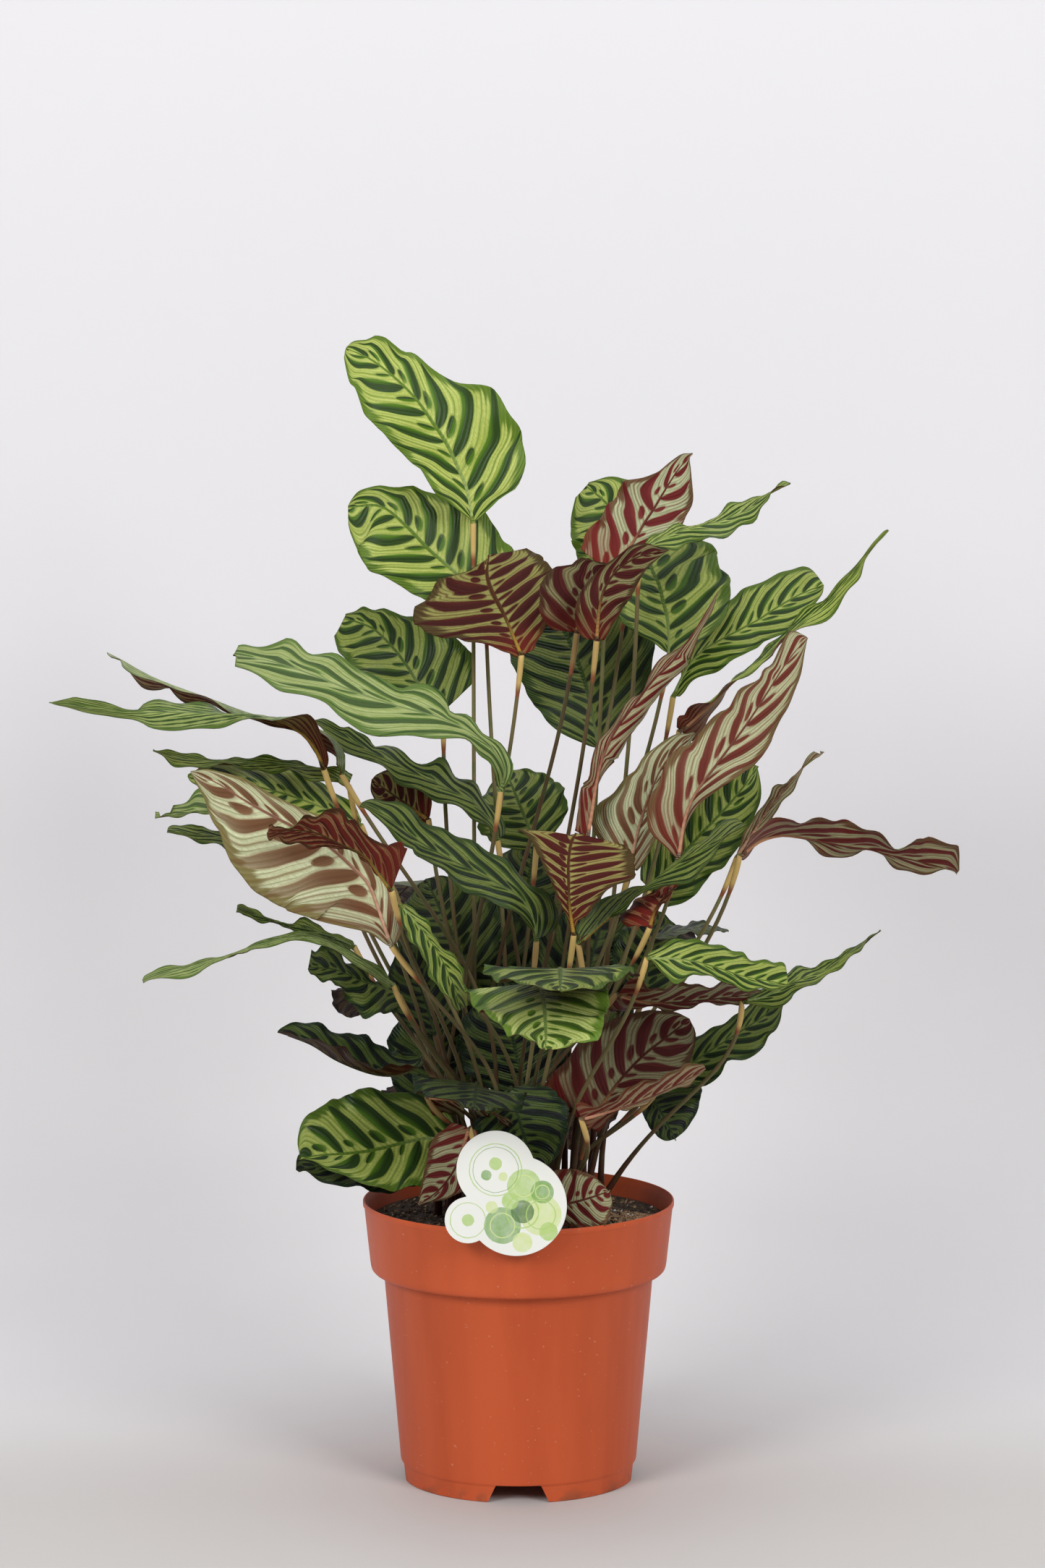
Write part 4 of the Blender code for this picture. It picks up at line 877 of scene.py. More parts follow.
    "left_wavy": {
        "rib": (-93, 333, -106, 337, -122, 344),
        "edge": (-143.5, 350, -140, 357, -135, 356.5, -131, 359, -125, 360, -119, 357, -113, 350, -107, 345,
                 -100, 340, -93, 337, -86, 334, -79, 330, -77, 322, -79, 317, -86, 315, -92, 314,
                 -98, 312.5, -104, 314, -107.5, 319, -112, 324, -118, 327, -122, 332, -128, 337,
                 -135, 339.5, -140, 342),
        "sweep": 1.3,
    },
    "front_drooping": {
        "edge": (-78, 391, -81, 383, -79, 376, -74, 370, -70, 361, -65, 352, -59, 342, -53, 332, -46, 322,
                 -40, 315, -36, 311.5, -36, 311.5, -34, 320, -34, 331, -37, 342, -42, 351, -48, 358,
                 -54, 366, -60, 374, -66, 381, -72, 387),
        "sweep": 1.4,
    },
    "left_light": {
        "rib": (-10, 478, -17, 492, -30, 503, -52, 514, -80, 522, -110, 532, -140, 544, -165, 552),
        "edge": (-189, 549, -188, 553, -184, 554, -191, 559, -188, 562, -183, 563.5, -178, 563, -168, 561,
                 -160, 563, -154, 565.5, -148, 564, -143, 560, -137, 557.5, -124, 558.5, -115, 555,
                 -100, 546, -86, 536, -78, 533, -70, 535, -60, 534, -50, 530, -46, 525, -44, 520, -35, 519,
                 -30, 515, -24, 505, -15, 501, -10, 497, -7, 490, -5, 483, -6, 475, -11, 465, -15, 472,
                 -17, 478, -20, 485, -28, 490, -35, 497, -45, 500, -60, 502, -75, 503.5, -100, 504,
                 -110, 507, -120, 514, -130, 524, -148, 530, -158, 534, -165, 538, -183, 547.5),
        "sweep": 2.2, "pairs": 4.4,
    },
    "left_dark": {
        "rib": (-17, 442, -30, 457, -55, 470, -80, 482, -105, 495, -125, 507),
        "edge": (-141, 515.5, -137, 513, -131, 513.5, -126, 510, -119, 507, -113, 508.5, -107, 505,
                 -100, 501, -95, 497, -88, 499, -82, 497, -78, 492, -73, 486, -66, 482, -60, 482, -55, 485,
                 -50, 485, -45, 481, -40, 476, -28, 472, -22, 462, -15, 450, -10, 440, -11, 433, -15, 430,
                 -20, 440, -30, 445, -45, 455, -55, 460, -68, 468, -82, 471, -92, 480, -100, 485, -113, 489,
                 -124, 500, -136, 511),
        "sweep": 2.1, "pairs": 5.5,
    },
    "front_left": {
        "rib": (10, 378, 5, 388, -2, 396, -15, 403, -30, 411, -50, 421, -68, 432, -85, 446),
        "edge": (13, 364, 20, 368, 25, 374, 27, 381, 24, 390, 19, 397, 10, 402, 4, 409, -2, 415, -8, 419,
                 -22, 424, -30, 429, -43, 437, -50, 441, -62, 445, -68, 449, -80, 457, -88, 458.5,
                 -100, 459.5, -107, 456, -99, 452, -94, 448, -89, 442, -78, 430, -71, 424, -70, 420,
                 -60, 416, -50, 411, -42, 403, -25, 394, -5, 383, 3, 378, 9, 372),
        "sweep": 2.0, "pairs": 5.5,
    },
    "left_pale": {
        "rib": (-92, 380, -100, 402, -112, 415, -125, 427, -140, 436, -155, 444, -172, 453, -186, 461,
                -200, 470),
        "tip": (-219, 478.5, -115),
        "edge": (-219, 478.5, -219, 478.5, -217, 473, -210, 460, -208, 453, -204, 444, -200, 438, -198, 430,
                 -195, 422, -191, 415, -180, 402, -174, 396, -166, 390, -155, 385, -145, 381, -130, 377,
                 -115, 373, -100, 369, -86, 360, -80, 366, -77, 378, -80, 396, -88, 412, -103, 430,
                 -120, 442, -140, 452, -162, 462, -175, 469, -188, 475, -200, 478.5, -210, 480),
        "curl": (60, 5), "sweep": 1.2, "pairs": 5.6,
    },
    "left_red": {
        "rib": (-95, 412, -103, 422, -118, 429, -135, 437, -150, 439), "tip": (-168, 437, -145),
        "edge": (-168, 438, -165, 443, -163, 441, -158, 441, -153, 442, -148, 446, -144, 449.5, -139, 448,
                 -135, 447, -130, 451, -127, 452.5, -120, 451, -114, 448, -108, 447, -105, 443, -97, 431,
                 -90, 428, -84, 430, -76, 430.5, -71, 426, -72, 418, -80, 408, -85, 401, -90, 404, -97, 414,
                 -105, 421, -115, 424, -130, 427, -145, 430, -157, 429, -160, 433, -167, 432),
        "width": 60, "sweep": 1.6, "pairs": 8.0,
    },
    "left_long_thin": {
        "rib": (-135, 493, -143, 503, -155, 511, -172, 516, -200, 517, -230, 518, -258, 518, -285, 521),
        "tip": (-313, 524.5, -105),
        "edge": (-130, 480, -136, 491, -142, 500, -150, 506, -160, 511, -172, 513.5, -185, 513.5, -195, 512,
                 -205, 510, -215, 507, -225, 505, -235, 505, -245, 506, -250, 509, -258, 513, -270, 515,
                 -285, 517, -298, 520, -313, 524.5, -313, 524.5, -300, 527.5, -295, 528.5, -285, 526,
                 -270, 523, -255, 521, -250, 525, -242, 528, -235, 528, -225, 525, -215, 522, -200, 520,
                 -180, 519, -160, 518, -145, 515, -134, 507, -128, 495, -127, 484),
        "roll": 70, "twist": -160, "sweep": 2.6, "width": 50,
    },
    "left_high_thin": {
        "rib": (-116, 488, -122, 499, -132, 506, -145, 510, -160, 513, -175, 516, -190, 521, -205, 527,
                -222, 533, -240, 540, -252, 546, -264, 553),
        "edge": (-274, 559, -268, 562, -258, 556, -245, 549, -235, 543, -215, 537, -207, 532, -188, 528.5,
                 -170, 520, -150, 516.5, -138, 513, -128, 508, -118, 501, -112, 492, -112, 480, -120, 480,
                 -123, 488, -130, 496, -140, 503, -150, 507, -165, 510, -180, 513, -196, 518, -204, 523,
                 -214, 525.5, -222, 526.5, -229, 530, -233, 534, -240, 532.5, -250, 534, -257, 540,
                 -262, 547, -266, 553, -272, 555),
        "tip": (-274, 558, -10), "width": 44, "roll": 106, "fold": -14, "twist": 0, "sweep": 2.4, "wave": 2,
    },
    "left_edge": {
        "rib": (-130, 479, -155, 483, -190, 484.5, -220, 486.5), "tip": (-244, 492.5, -30),
        "edge": (-244, 492.5, -244, 492.5, -230, 491, -220, 490, -205, 488, -190, 488.5, -180, 487,
                 -165, 486, -152, 487, -145, 486, -138, 483, -125, 481, -112, 477, -108, 468, -115, 472,
                 -122, 472, -128, 470, -135, 470, -143, 472, -150, 477, -157, 480, -170, 480, -200, 480.5,
                 -215, 481, -225, 483, -232, 485),
        "roll": 68, "twist": 0, "sweep": 2.4,
    },
    "left_green_b": {
        "edge": (-244, 446, -243.5, 450, -236, 452, -229, 455, -221, 458, -216, 464, -211, 467, -200, 470,
                 -180, 470, -150, 460, -130, 447, -122, 436, -135, 437, -160, 441, -185, 446, -205, 449,
                 -212, 450, -222, 451.5, -232, 451.5, -240, 450),
        "sweep": 1.8,
    },
    "left_green_c": {
        "edge": (-236, 437, -235, 441, -227, 442.5, -216, 440, -210, 441, -200, 439, -180, 436, -150, 430,
                 -125, 420, -112, 410, -130, 408, -160, 412, -180, 418, -194, 423, -200, 427, -208, 430.5,
                 -222, 434.5, -229, 437),
        "sweep": 1.8,
    },
    "front_face": {
        "edge": (-40, 344, -38, 333, -31, 323, -27, 316, -20, 311, -12, 307, -5, 301, 3, 298, 10, 295,
                 14, 291, 19, 290, 27, 290.5, 35, 292.5, 42, 296, 48, 298.5, 52, 298, 56, 303, 58.5, 311,
                 60, 320, 60.5, 330, 59, 342, 30, 348, -10, 348),
        "width": 104, "rib": (17, 322, 18, 306), "tip": (18, 290, -230), "pairs": 5.4,
    },
    "right_light": {
        "base": (86, 352, -115), "tip": (181, 334, -110),
        "rib": (100, 352, 118, 350, 135, 345, 150, 340, 165, 337),
        "edge": (84, 354, 90, 358, 96, 361, 110, 364, 125, 365, 133, 363, 140, 359, 152, 352.5, 160, 351.5,
                 168, 352, 172, 350.5, 178, 349, 181, 347, 182, 342, 182, 336, 180, 333, 173, 331,
                 167, 329.5, 160, 331, 150, 332, 145, 335, 138, 337, 132, 336, 127, 338, 122, 340, 117, 341,
                 110, 338, 103, 337.5, 97, 341, 93, 346, 89, 351),
        "roll": -48, "sweep": 1.5, "pairs": 6.5,
    },
    "front_right_thin": {
        "edge": (33, 361, 38, 370, 42, 377, 50, 385, 58, 391, 66, 396, 75, 401, 90, 404, 96, 409, 103, 415,
                 110, 421, 125, 435, 131, 441, 138, 446, 143, 447, 148, 446, 150, 443, 142, 436, 133, 425,
                 122, 412, 108, 402, 90, 398, 75, 390, 68, 384, 60, 380, 50, 379, 42, 373, 37, 366),
        "sweep": 2.4,
    },
    "front_small_red": {
        "base": (88, 373, -85), "rib": (91, 383, 96, 391, 101, 397), "tip": (107.5, 402.5, -55),
        "edge": (107.5, 402.5, 101, 402.5, 95, 400, 91, 396, 86, 395, 80, 394.5, 75, 392, 71, 387, 69, 381,
                 70, 376, 75, 372.5, 81, 370.5, 88, 370, 91, 376, 94, 385, 99, 391, 104, 398),
        "width": 42, "curl": (20, 60), "pairs": 4.5,
    },
    "right_burgundy": {
        "rib": (85, 323, 110, 323, 140, 326),
        "edge": (60, 322, 62, 335, 75, 343, 95, 345, 115, 344, 135, 338, 150, 333, 163, 330.5, 163, 330.5,
                 156, 327, 150, 323, 138, 320, 120, 320, 100, 318, 80, 317, 66, 315),
        "pairs": 6.0,
    },
    "low_right_red": {
        "rib": (58, 255, 70, 271, 85, 287, 100, 299), "tip": (115, 311, -35),
        "edge": (46, 226, 36, 228, 26, 232, 18, 237, 13, 243, 12, 252, 14, 261, 21, 271, 29, 281, 38, 290,
                 46, 298, 54, 305, 64, 311, 76, 315, 88, 317, 100, 316.5, 109, 314.5, 115, 310, 118.5, 304,
                 119, 296, 117.5, 288, 114, 280, 107, 272, 95, 265, 80, 257, 65, 246, 55, 235),
        "pairs": 5.6,
    },
    "low_right_flap": {
        "edge": (20, 238, 21, 245, 28, 250, 38, 252.5, 50, 252, 58, 255, 66, 258, 74, 262, 84, 268,
                 94, 272.5, 104, 275.5, 114, 279, 122, 280.5, 127, 278.5, 127, 278.5, 121, 272, 112, 266,
                 102, 261, 92, 256.5, 82, 253, 72, 250, 63, 246.5, 56, 243, 50, 238, 40, 233, 28, 234),
        "sweep": 1.8, "base": (42, 243, -115),
    },
    "low_right_green": {
        "rib": (108, 275, 130, 290, 150, 303, 165, 313), "tip": (177, 323, -10),
        "edge": (90, 258, 88, 270, 95, 283, 105, 292, 118, 300, 130, 305, 142, 309, 150, 317, 158, 323,
                 168, 325, 177, 323, 177, 316, 176, 310, 173, 302, 168, 299, 164, 293, 160, 288, 153, 284.5,
                 146, 282.5, 141, 280, 137, 274, 132, 269, 125, 266.5, 118, 266, 108, 262),
        "sweep": 1.6,
    },
    "low_right_small": {
        "edge": (122.5, 267, 122.5, 258, 121, 250, 118, 243, 114, 237, 109, 232, 102, 228, 96, 229, 90, 235,
                 84, 245, 82, 258, 90, 268, 108, 272),
        "width": 56,
    },
    "label_right": {
        "rib": (32, 184.5, 42, 187, 53, 190.5),
        "edge": (15, 195, 22, 206, 30, 208.5, 38, 208.5, 46, 206, 53, 202, 58, 197, 62, 191, 63.5, 185,
                 62, 178, 60, 172, 57, 168.5, 53, 167, 44, 168, 34, 169, 22, 172, 15, 182),
        "pairs": 4.6,
    },
    "label_left": {
        "rib": (-38, 222, -44, 207, -55, 193),
        "edge": (-45, 240, -38, 241, -30, 238, -26, 225, -28, 208, -33, 196, -40, 192, -52, 187, -60, 186,
                 -69, 183, -69, 183, -67, 187, -66, 196, -63, 210, -61, 218, -60, 225, -56, 231, -50, 236),
        "pairs": 4.6,
    },
    "low_left": {
        "rib": (-60, 229.5, -75, 227, -90, 223, -105, 220, -120, 218.5, -135, 217.5),
        "edge": (-147, 218, -149, 226, -148, 234, -146, 240, -142, 245, -137, 248, -127, 256, -120, 258,
                 -113, 260, -107, 263, -95, 262, -83, 262, -68, 261, -60, 258, -50, 249, -42, 238, -42, 224,
                 -50, 207, -62, 198, -70, 198, -85, 194, -95, 195, -104, 197, -120, 205, -130, 210,
                 -138, 213.5, -143, 215),
        "width": 88, "sweep": 1.1, "pairs": 5.2,
    },
    "low_left_back": {
        "edge": (-149, 207, -149, 217, -140, 222, -110, 222, -70, 218, -55, 208, -60, 200, -80, 194,
                 -100, 194, -112, 195.5, -122, 196.5, -130, 200, -138, 204, -144, 207),
    },
    "low_burgundy": {
        "edge": (-63, 258, -55, 257, -47, 255, -40, 251, -32, 247, -24, 245.5, -16, 241, -8, 238.5, -3, 237,
                 -3, 237, -8, 235, -18, 236, -30, 237, -42, 238, -55, 244, -62, 252),
        "sweep": 1.8,
    },
    "middle_d": {"tip": (-12, 336, 40), "width": 76},
    "middle_e": {"tip": (-54, 332, 35), "width": 74},
    "low_middle": {"tip": (10, 205, -55), "width": 66},
    "front_low": {
        "edge": (-71, 270, -70, 265, -66, 261, -60, 257, -54, 256, -48, 256.5, -42, 253, -34, 249.5,
                 -25, 247, -18, 248, -12, 251, -6, 252, 0, 249, 3, 253, 4.5, 259, -5, 262, -20, 264,
                 -35, 267, -50, 270, -62, 272.5),
    },
}


def place(seen):
    x, z, y = seen
    reach = 1 + y / eye["distance"]
    high = eye["height"] + (z + eye["lift"] - eye["height"]) * reach
    return Vector((eye["x"] + (x - eye["x"]) * reach, y, high))


def seenAt(point):
    reach = 1 + point.y / eye["distance"]
    high = (point.z - eye["height"]) / reach
    return eye["x"] + (point.x - eye["x"]) / reach, high + eye["height"] - eye["lift"]


def inPairs(numbers):
    return list(zip(numbers[::2], numbers[1::2]))


def smoothLine(points, closed=False, pieces=8):
    count = len(points)
    line = []
    for i in range(count if closed else count - 1):
        near = [(i + k) % count if closed else min(max(i + k, 0), count - 1) for k in (-1, 0, 1, 2)]
        a, b, c, d = (Vector(points[k]) for k in near)
        for k in range(pieces):
            t = k / pieces
            line.append(b + ((c - a) * t + (2 * a - 5 * b + 4 * c - d) * t**2
                             + (3 * b - 3 * c + d - a) * t**3) / 2)
    return line if closed else line + [Vector(points[-1])]


def alongLine(line, share):
    spans = [(b - a).length for a, b in zip(line, line[1:])]
    left = share * sum(spans)
    for a, b, span in zip(line, line[1:], spans):
        if left <= span or b is line[-1]:
            return a + (b - a) * (left / max(span, 1e-6))
        left -= span


def isInside(line, x, z):
    inside = False
    for a, b in zip(line, line[1:] + line[:1]):
        if (a[1] > z) != (b[1] > z) and x < a[0] + (z - a[1]) * (b[0] - a[0]) / (b[1] - a[1]):
            inside = not inside
    return inside


def outline(row, u):
    stretch = math.log(0.5) / math.log(row["widest"])
    return max(math.sin(math.pi * min(u, 1.0) ** stretch), 0.0) ** blade["bluntness"]


def bladeAxes(row, shift=(0, 0, 0)):
    base = place([a + b for a, b in zip(row["base"], shift)])
    chord = place([a + b for a, b in zip(row["tip"], shift)]) - base
    axis = chord.normalized()
    toEye = (Vector((eye["x"], -eye["distance"], eye["height"])) - base).normalized()
    seenRight = Vector((row["tip"][1] - row["base"][1], 0, row["base"][0] - row["tip"][0])).normalized()
    normal = Vector((0, 0, 1))
    if row["roll"] is not None:
        roll = math.radians(row["roll"])
        normal = math.cos(roll) * toEye + math.sin(roll) * seenRight
    normal = (normal - axis * normal.dot(axis)).normalized()
    return base, chord, normal, axis.cross(normal)


def midrib(row, axes, u):
    base, chord, normal, right = axes
    once = math.sin(math.pi * u)
    twice = math.sin(2 * math.pi * u)
    arch = row["arch"][0] * once + row["arch"][1] * twice
    if "rib" in row:
        x, z = alongLine(row["rib"], u)
        depth = row["base"][2] + (row["tip"][2] - row["base"][2]) * u
        return place((x, z, depth + normal.y * arch))
    sway = row["sway"][0] * once + row["sway"][1] * twice
    return base + chord * u + normal * arch + right * sway


def bladeFrame(row, axes, u):
    step = 0.01
    forward = (midrib(row, axes, u + step) - midrib(row, axes, u - step)).normalized()
    up = (axes[2] - forward * axes[2].dot(forward)).normalized()
    up.rotate(Matrix.Rotation(row["twist"] * (u - 0.5), 3, forward))
    return midrib(row, axes, u), forward, up, forward.cross(up)


def foldedPoint(row, frameAt, side, distance):
    centre, _, up, right = frameAt
    bend = row["curl"][(side + 1) // 2] / (row["width"] / 2)
    start = row["fold"]
    end = start + bend * distance
    if abs(bend) < 1e-6:
        out, rise = distance * math.cos(start), distance * math.sin(start)
    else:
        out = (math.sin(end) - math.sin(start)) / bend
        rise = (math.cos(start) - math.cos(end)) / bend
    outward = right * side
    return centre + outward * out + up * rise, up * math.cos(end) - outward * math.sin(end)


def halfWidth(row, frameAt, u, side, seed):
    large, small = blade["lobeTurns"]
    lobes = math.sin(2 * math.pi * (large * u + seed + 0.3 * side))
    lobes += 0.6 * math.sin(2 * math.pi * (small * u - seed))
    if "edge" not in row:
        shape = outline(row, u) * (1 + side * row["skew"]) * (1 + blade["lobe"] * lobes)
        return max(row["width"] / 2 * shape, 0.35)
    low, high = 0.0, row["width"] * blade["limit"]
    for _ in range(11):
        middle = (low + high) / 2
        if isInside(row["edge"], *seenAt(foldedPoint(row, frameAt, side, middle)[0])):
            low = middle
        else:
            high = middle
    return max(low * (1 + blade["seenLobe"] * lobes), 0.35)


def finePoint(row, frameAt, u, across, lift, seed, reach):
    side = -1 if across < 0 else 1
    share = abs(across)
    point, face = foldedPoint(row, frameAt, side, share * reach)
    turn = 2 * math.pi * (blade["ripples"] * u + 0.22 * side)
    ripple = row["wave"] * share**2 * outline(row, u) * math.sin(turn)
    fringe = math.sin(2.6 * turn + 9 * seed) * min(1.0, 6 * outline(row, u) - 1)
    frill = blade["frill"] * row["wave"] * share**4 * fringe
    vein = u - row["sweep"] * (marks["bend"] * share + marks["curve"] * share**2)
    cell = vein * row["pairs"] + 0.5 * (side > 0) + seed
    pleat = -blade["pleat"] * math.cos(2 * math.pi * cell) * math.sin(math.pi * share) * outline(row, u)
    return point + face * (lift + ripple + frill + pleat)


def stalkPath(row, axes, root, bend, pieces):
    inside = row["stemOf"] is not None
    foot = Vector((root[0], root[1], stalk["soilTop"] - stalk["depth"] + stalk["innerRaise"] * inside))
    collar = Vector((root[0], root[1], stalk["soilTop"] + stalk["collar"]))
    end = axes[0]
    reach = end - collar
    sideways = Vector((bend[0], bend[1], 0))
    first = collar + Vector((0, 0, stalk["firstPull"] * reach.length)) + sideways
    jointUp = (reach.normalized() + Vector((0, 0, stalk["jointUp"]))).normalized()
    second = end - jointUp * (stalk["secondPull"] * reach.length) + sideways * stalk["secondBend"]
    jointStart = max(0.5, 1 - stalk["jointLength"] / reach.length)
    shares = [jointStart * i / pieces for i in range(pieces + 1)]
    shares += [jointStart + (1 - jointStart) * i / 6 for i in range(1, 7)]
    points = [foot]
    for t in shares:
        s = 1 - t
        points.append(s**3 * collar + 3 * s * s * t * first + 3 * s * t * t * second + t**3 * end)
    return points, [0.0] + shares, jointStart


def rootPlaces():
    golden = math.pi * (3 - math.sqrt(5))
    places = []
    for k in range(sum(row["stemOf"] is None for row in leaves)):
        radius = stalk["spacing"] * math.sqrt(k + 0.5)
        places.append((radius * math.cos(k * golden), radius * math.sin(k * golden)))
    return places


def sharedRoots():
    free = rootPlaces()
    sheaths = [row for row in leaves if row["stemOf"] is None]
    sheaths.sort(key=lambda row: -math.hypot(row["base"][0], row["base"][2]))
    roots = {}
    for row in sheaths:
        wanted = stalk["pull"] * row["base"][0], stalk["pull"] * row["base"][2]
        nearest = min(free, key=lambda p: math.dist(p, wanted))
        free.remove(nearest)
        roots[row["name"]] = nearest
    return roots


def shifts():
    seen = [(0, 0), (3, 0), (-3, 0), (0, 3), (0, -3), (6, 0), (-6, 0), (0, 6), (0, -6)]
    slides = [0, 8, -8, 16, -16, 24, -24, 34, -34, 44, -44, 56, -56]
    places = [(x, z, y) for x, z in seen for y in slides]
    return sorted(places, key=lambda p: 5 * (abs(p[0]) + abs(p[1])) + abs(p[2]))


def bends():
    turns = [k * math.pi / 4 for k in range(8)]
    return [(0, 0)] + [(r * math.cos(t), r * math.sin(t)) for r in (14, 28, 44, 62) for t in turns]


# Where a leaf stands: the shift and the bend with which its tip and its stalk lie in the solid leaf

def solidTree(node):
    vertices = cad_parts[node].data.vertices
    tree = KDTree(len(vertices))
    for index, vertex in enumerate(vertices):
        tree.insert(vertex.co / mm, index)
    tree.balance()
    return tree


def findPlace(row, root, tree):
    face = math.cos(row["fold"])
    for shift in shifts():
        axes = bladeAxes(row, shift)
        tip, _, up, right = bladeFrame(row, axes, 1.0)
        tip = tip + (up * face - right * math.sin(row["fold"])) * (blade["thickness"] / 2)
        if tree.find(tip)[2] < 0.1:
            break
    else:
        print("no place found for", row["name"])
        shift = (0, 0, 0)
        axes = bladeAxes(row)
    reach = (axes[0] - Vector((root[0], root[1], stalk["soilTop"] + stalk["collar"]))).length
    for bend in bends():
        points, _, _ = stalkPath(row, axes, root, bend, max(3, round(reach / 85)))
        ring = [found for found in tree.find_range(points[3], stalk["solidRadius"] + 0.1)
                if found[2] > stalk["solidRadius"] - 0.1]
        if len(ring) >= 3:
            return shift, bend
    print("no bend found for", row["name"])
    return shift, (0, 0)


def refined(row, shift):
    # the row with what only the fine leaf has; one with a given outline stands where that outline is
    detail = details.get(row["name"], {})
    row = {**row, **detail}
    row["curl"] = tuple(math.radians(v) for v in detail["curl"]) if "curl" in detail else row["curl"]
    for key in ("fold", "twist"):
        row[key] = math.radians(detail[key]) if key in detail else row[key]
    for key in ("base", "tip"):
        x, z, y = row[key]
        held = "edge" in detail or "rib" in detail
        row[key] = (x, z, y + shift[2]) if held else (x + shift[0], z + shift[1], y + shift[2])
    if "rib" in detail:
        row["rib"] = smoothLine([row["base"][:2], *inPairs(detail["rib"]), row["tip"][:2]])
    if "edge" in detail:
        row["edge"] = smoothLine(inPairs(detail["edge"]), closed=True, pieces=5)
    length = math.dist(row["base"], row["tip"])
    row.setdefault("sweep", 1.3)
    row.setdefault("pairs", blade["pairs"][0] + blade["pairs"][1] * length)
    return row


def addFace(mesh, corners, slot):
    mesh["faces"].append(tuple(corners))
    mesh["slots"].append(slot)


def fineBlade(row, axes, seed, mesh):
    short = math.dist(row["base"], row["tip"]) < blade["shortLength"]
    count = blade["shortStations"] if short else blade["stations"]
    strips = [-s for s in blade["strips"][:0:-1]] + list(blade["strips"])
    across = len(strips)
    first = len(mesh["points"])
    reaches = []
    for layer in (1, -1):
        for station in range(count + 1):
            # the stations stand closer together near the base and the tip
            t = station / count
            u = 0.5 - 0.5 * math.cos(math.pi * (0.08 + 0.92 * t)) if t < 1 else 1.0
            u = 0.6 * t + 0.4 * u
            frameAt = bladeFrame(row, axes, u)
            if layer == 1:
                reaches.append([halfWidth(row, frameAt, u, side, seed) for side in (-1, 1)])
            for s in strips:
                thick = blade["middle"] + (blade["edge"] - blade["middle"]) * abs(s)
                reach = reaches[station][s >= 0]
                mesh["points"].append(finePoint(row, frameAt, u, s, layer * thick / 2, seed, reach))
                mesh["uvs"].append((u, 0.5 + 0.5 * s))
    layerSize = (count + 1) * across
    for layer in (0, 1):
        start = first + layer * layerSize
        for station in range(count):
            for i in range(across - 1):
                a = start + station * across + i
                face = (a, a + 1, a + 1 + across, a + across)
                addFace(mesh, face if layer == 0 else face[::-1], layer)
    for station in range(count):
        for i, turn in ((0, 1), (across - 1, -1)):
            a = first + station * across + i
            addFace(mesh, (a, a + across, a + across + layerSize, a + layerSize)[::turn], 1)
    for station, turn in ((0, -1), (count, 1)):
        for i in range(across - 1):
            a = first + station * across + i
            addFace(mesh, (a, a + 1, a + 1 + layerSize, a + layerSize)[::turn], 1)


def fineStalk(row, axes, root, bend, mesh):
    points, shares, jointStart = stalkPath(row, axes, root, bend, stalk["pieces"])
    bottom = stalk["sheathRadius"] if row["stemOf"] is None else stalk["innerRadius"]
    radii = []
    alongs = []
    for t in shares:
        sheath = max(0.0, 1 - t / stalk["sheathReach"]) ** 1.5
        inJoint = max(0.0, t - jointStart)
        joint = math.sin(math.pi * min(1.0, inJoint / (1.04 - jointStart))) ** 0.7
        base = stalk["radius"] - stalk["thinning"] * t
        radii.append(base + (bottom - base) * sheath + (stalk["jointRadius"] - base) * joint)
        below = min(t, jointStart) / jointStart
        alongs.append(below * stalk["jointMark"] + (1 - stalk["jointMark"]) * inJoint / (1 - jointStart))
    ribs = []
    steps = stalk["ribSteps"]
    for i in range(1, steps + 1):
        u = stalk["ribReach"] * i / steps
        centre, _, up, _ = bladeFrame(row, axes, u)
        radius = stalk["bladeRadius"] + (stalk["ribEnd"] - stalk["bladeRadius"]) * (i / steps) ** 0.6
        points.append(centre - up * radius * stalk["ribSink"])
        radii.append(radius)
        ribs.append(u)
    sides = stalk["sides"]
    first = len(mesh["points"])
    rings = []
    along = bladeFrame(row, axes, 0.5)[1]
    up = bladeFrame(row, axes, 0.02)[2]
    for index in range(len(points) - 1, -1, -1):
        low = points[max(index - 1, 0)]
        high = points[min(index + 1, len(points) - 1)]
        ahead = along
        along = (high - low).normalized()
        up = ahead.rotation_difference(along) @ up
        if index >= len(shares):
            up = bladeFrame(row, axes, ribs[index - len(shares)])[2]
        up = (up - along * up.dot(along)).normalized()
        right = along.cross(up)
        ring = []
        for i in range(sides):
            turn = 2 * math.pi * (i + 0.5) / sides
            ring.append(points[index] + (right * math.cos(turn) + up * math.sin(turn)) * radii[index])
        rings.append(ring)
    rings.reverse()
    for index, ring in enumerate(rings):
        for i, point in enumerate(ring):
            mesh["points"].append(point)
            onBlade = index >= len(shares)
            mesh["uvs"].append((ribs[index - len(shares)], 0.5) if onBlade else (alongs[index], i / sides))
    for index in range(len(rings) - 1):
        for i in range(sides):
            j = (i + 1) % sides
            a, b = first + index * sides + i, first + index * sides + j
            onBlade = index >= len(shares) - 1
            slot = (0 if i < sides // 2 else 1) if onBlade else 2
            addFace(mesh, (a, a + sides, b + sides, b), slot)
    addFace(mesh, range(first, first + sides), 2)
    last = first + (len(rings) - 1) * sides
    addFace(mesh, range(last + sides - 1, last - 1, -1), 1)


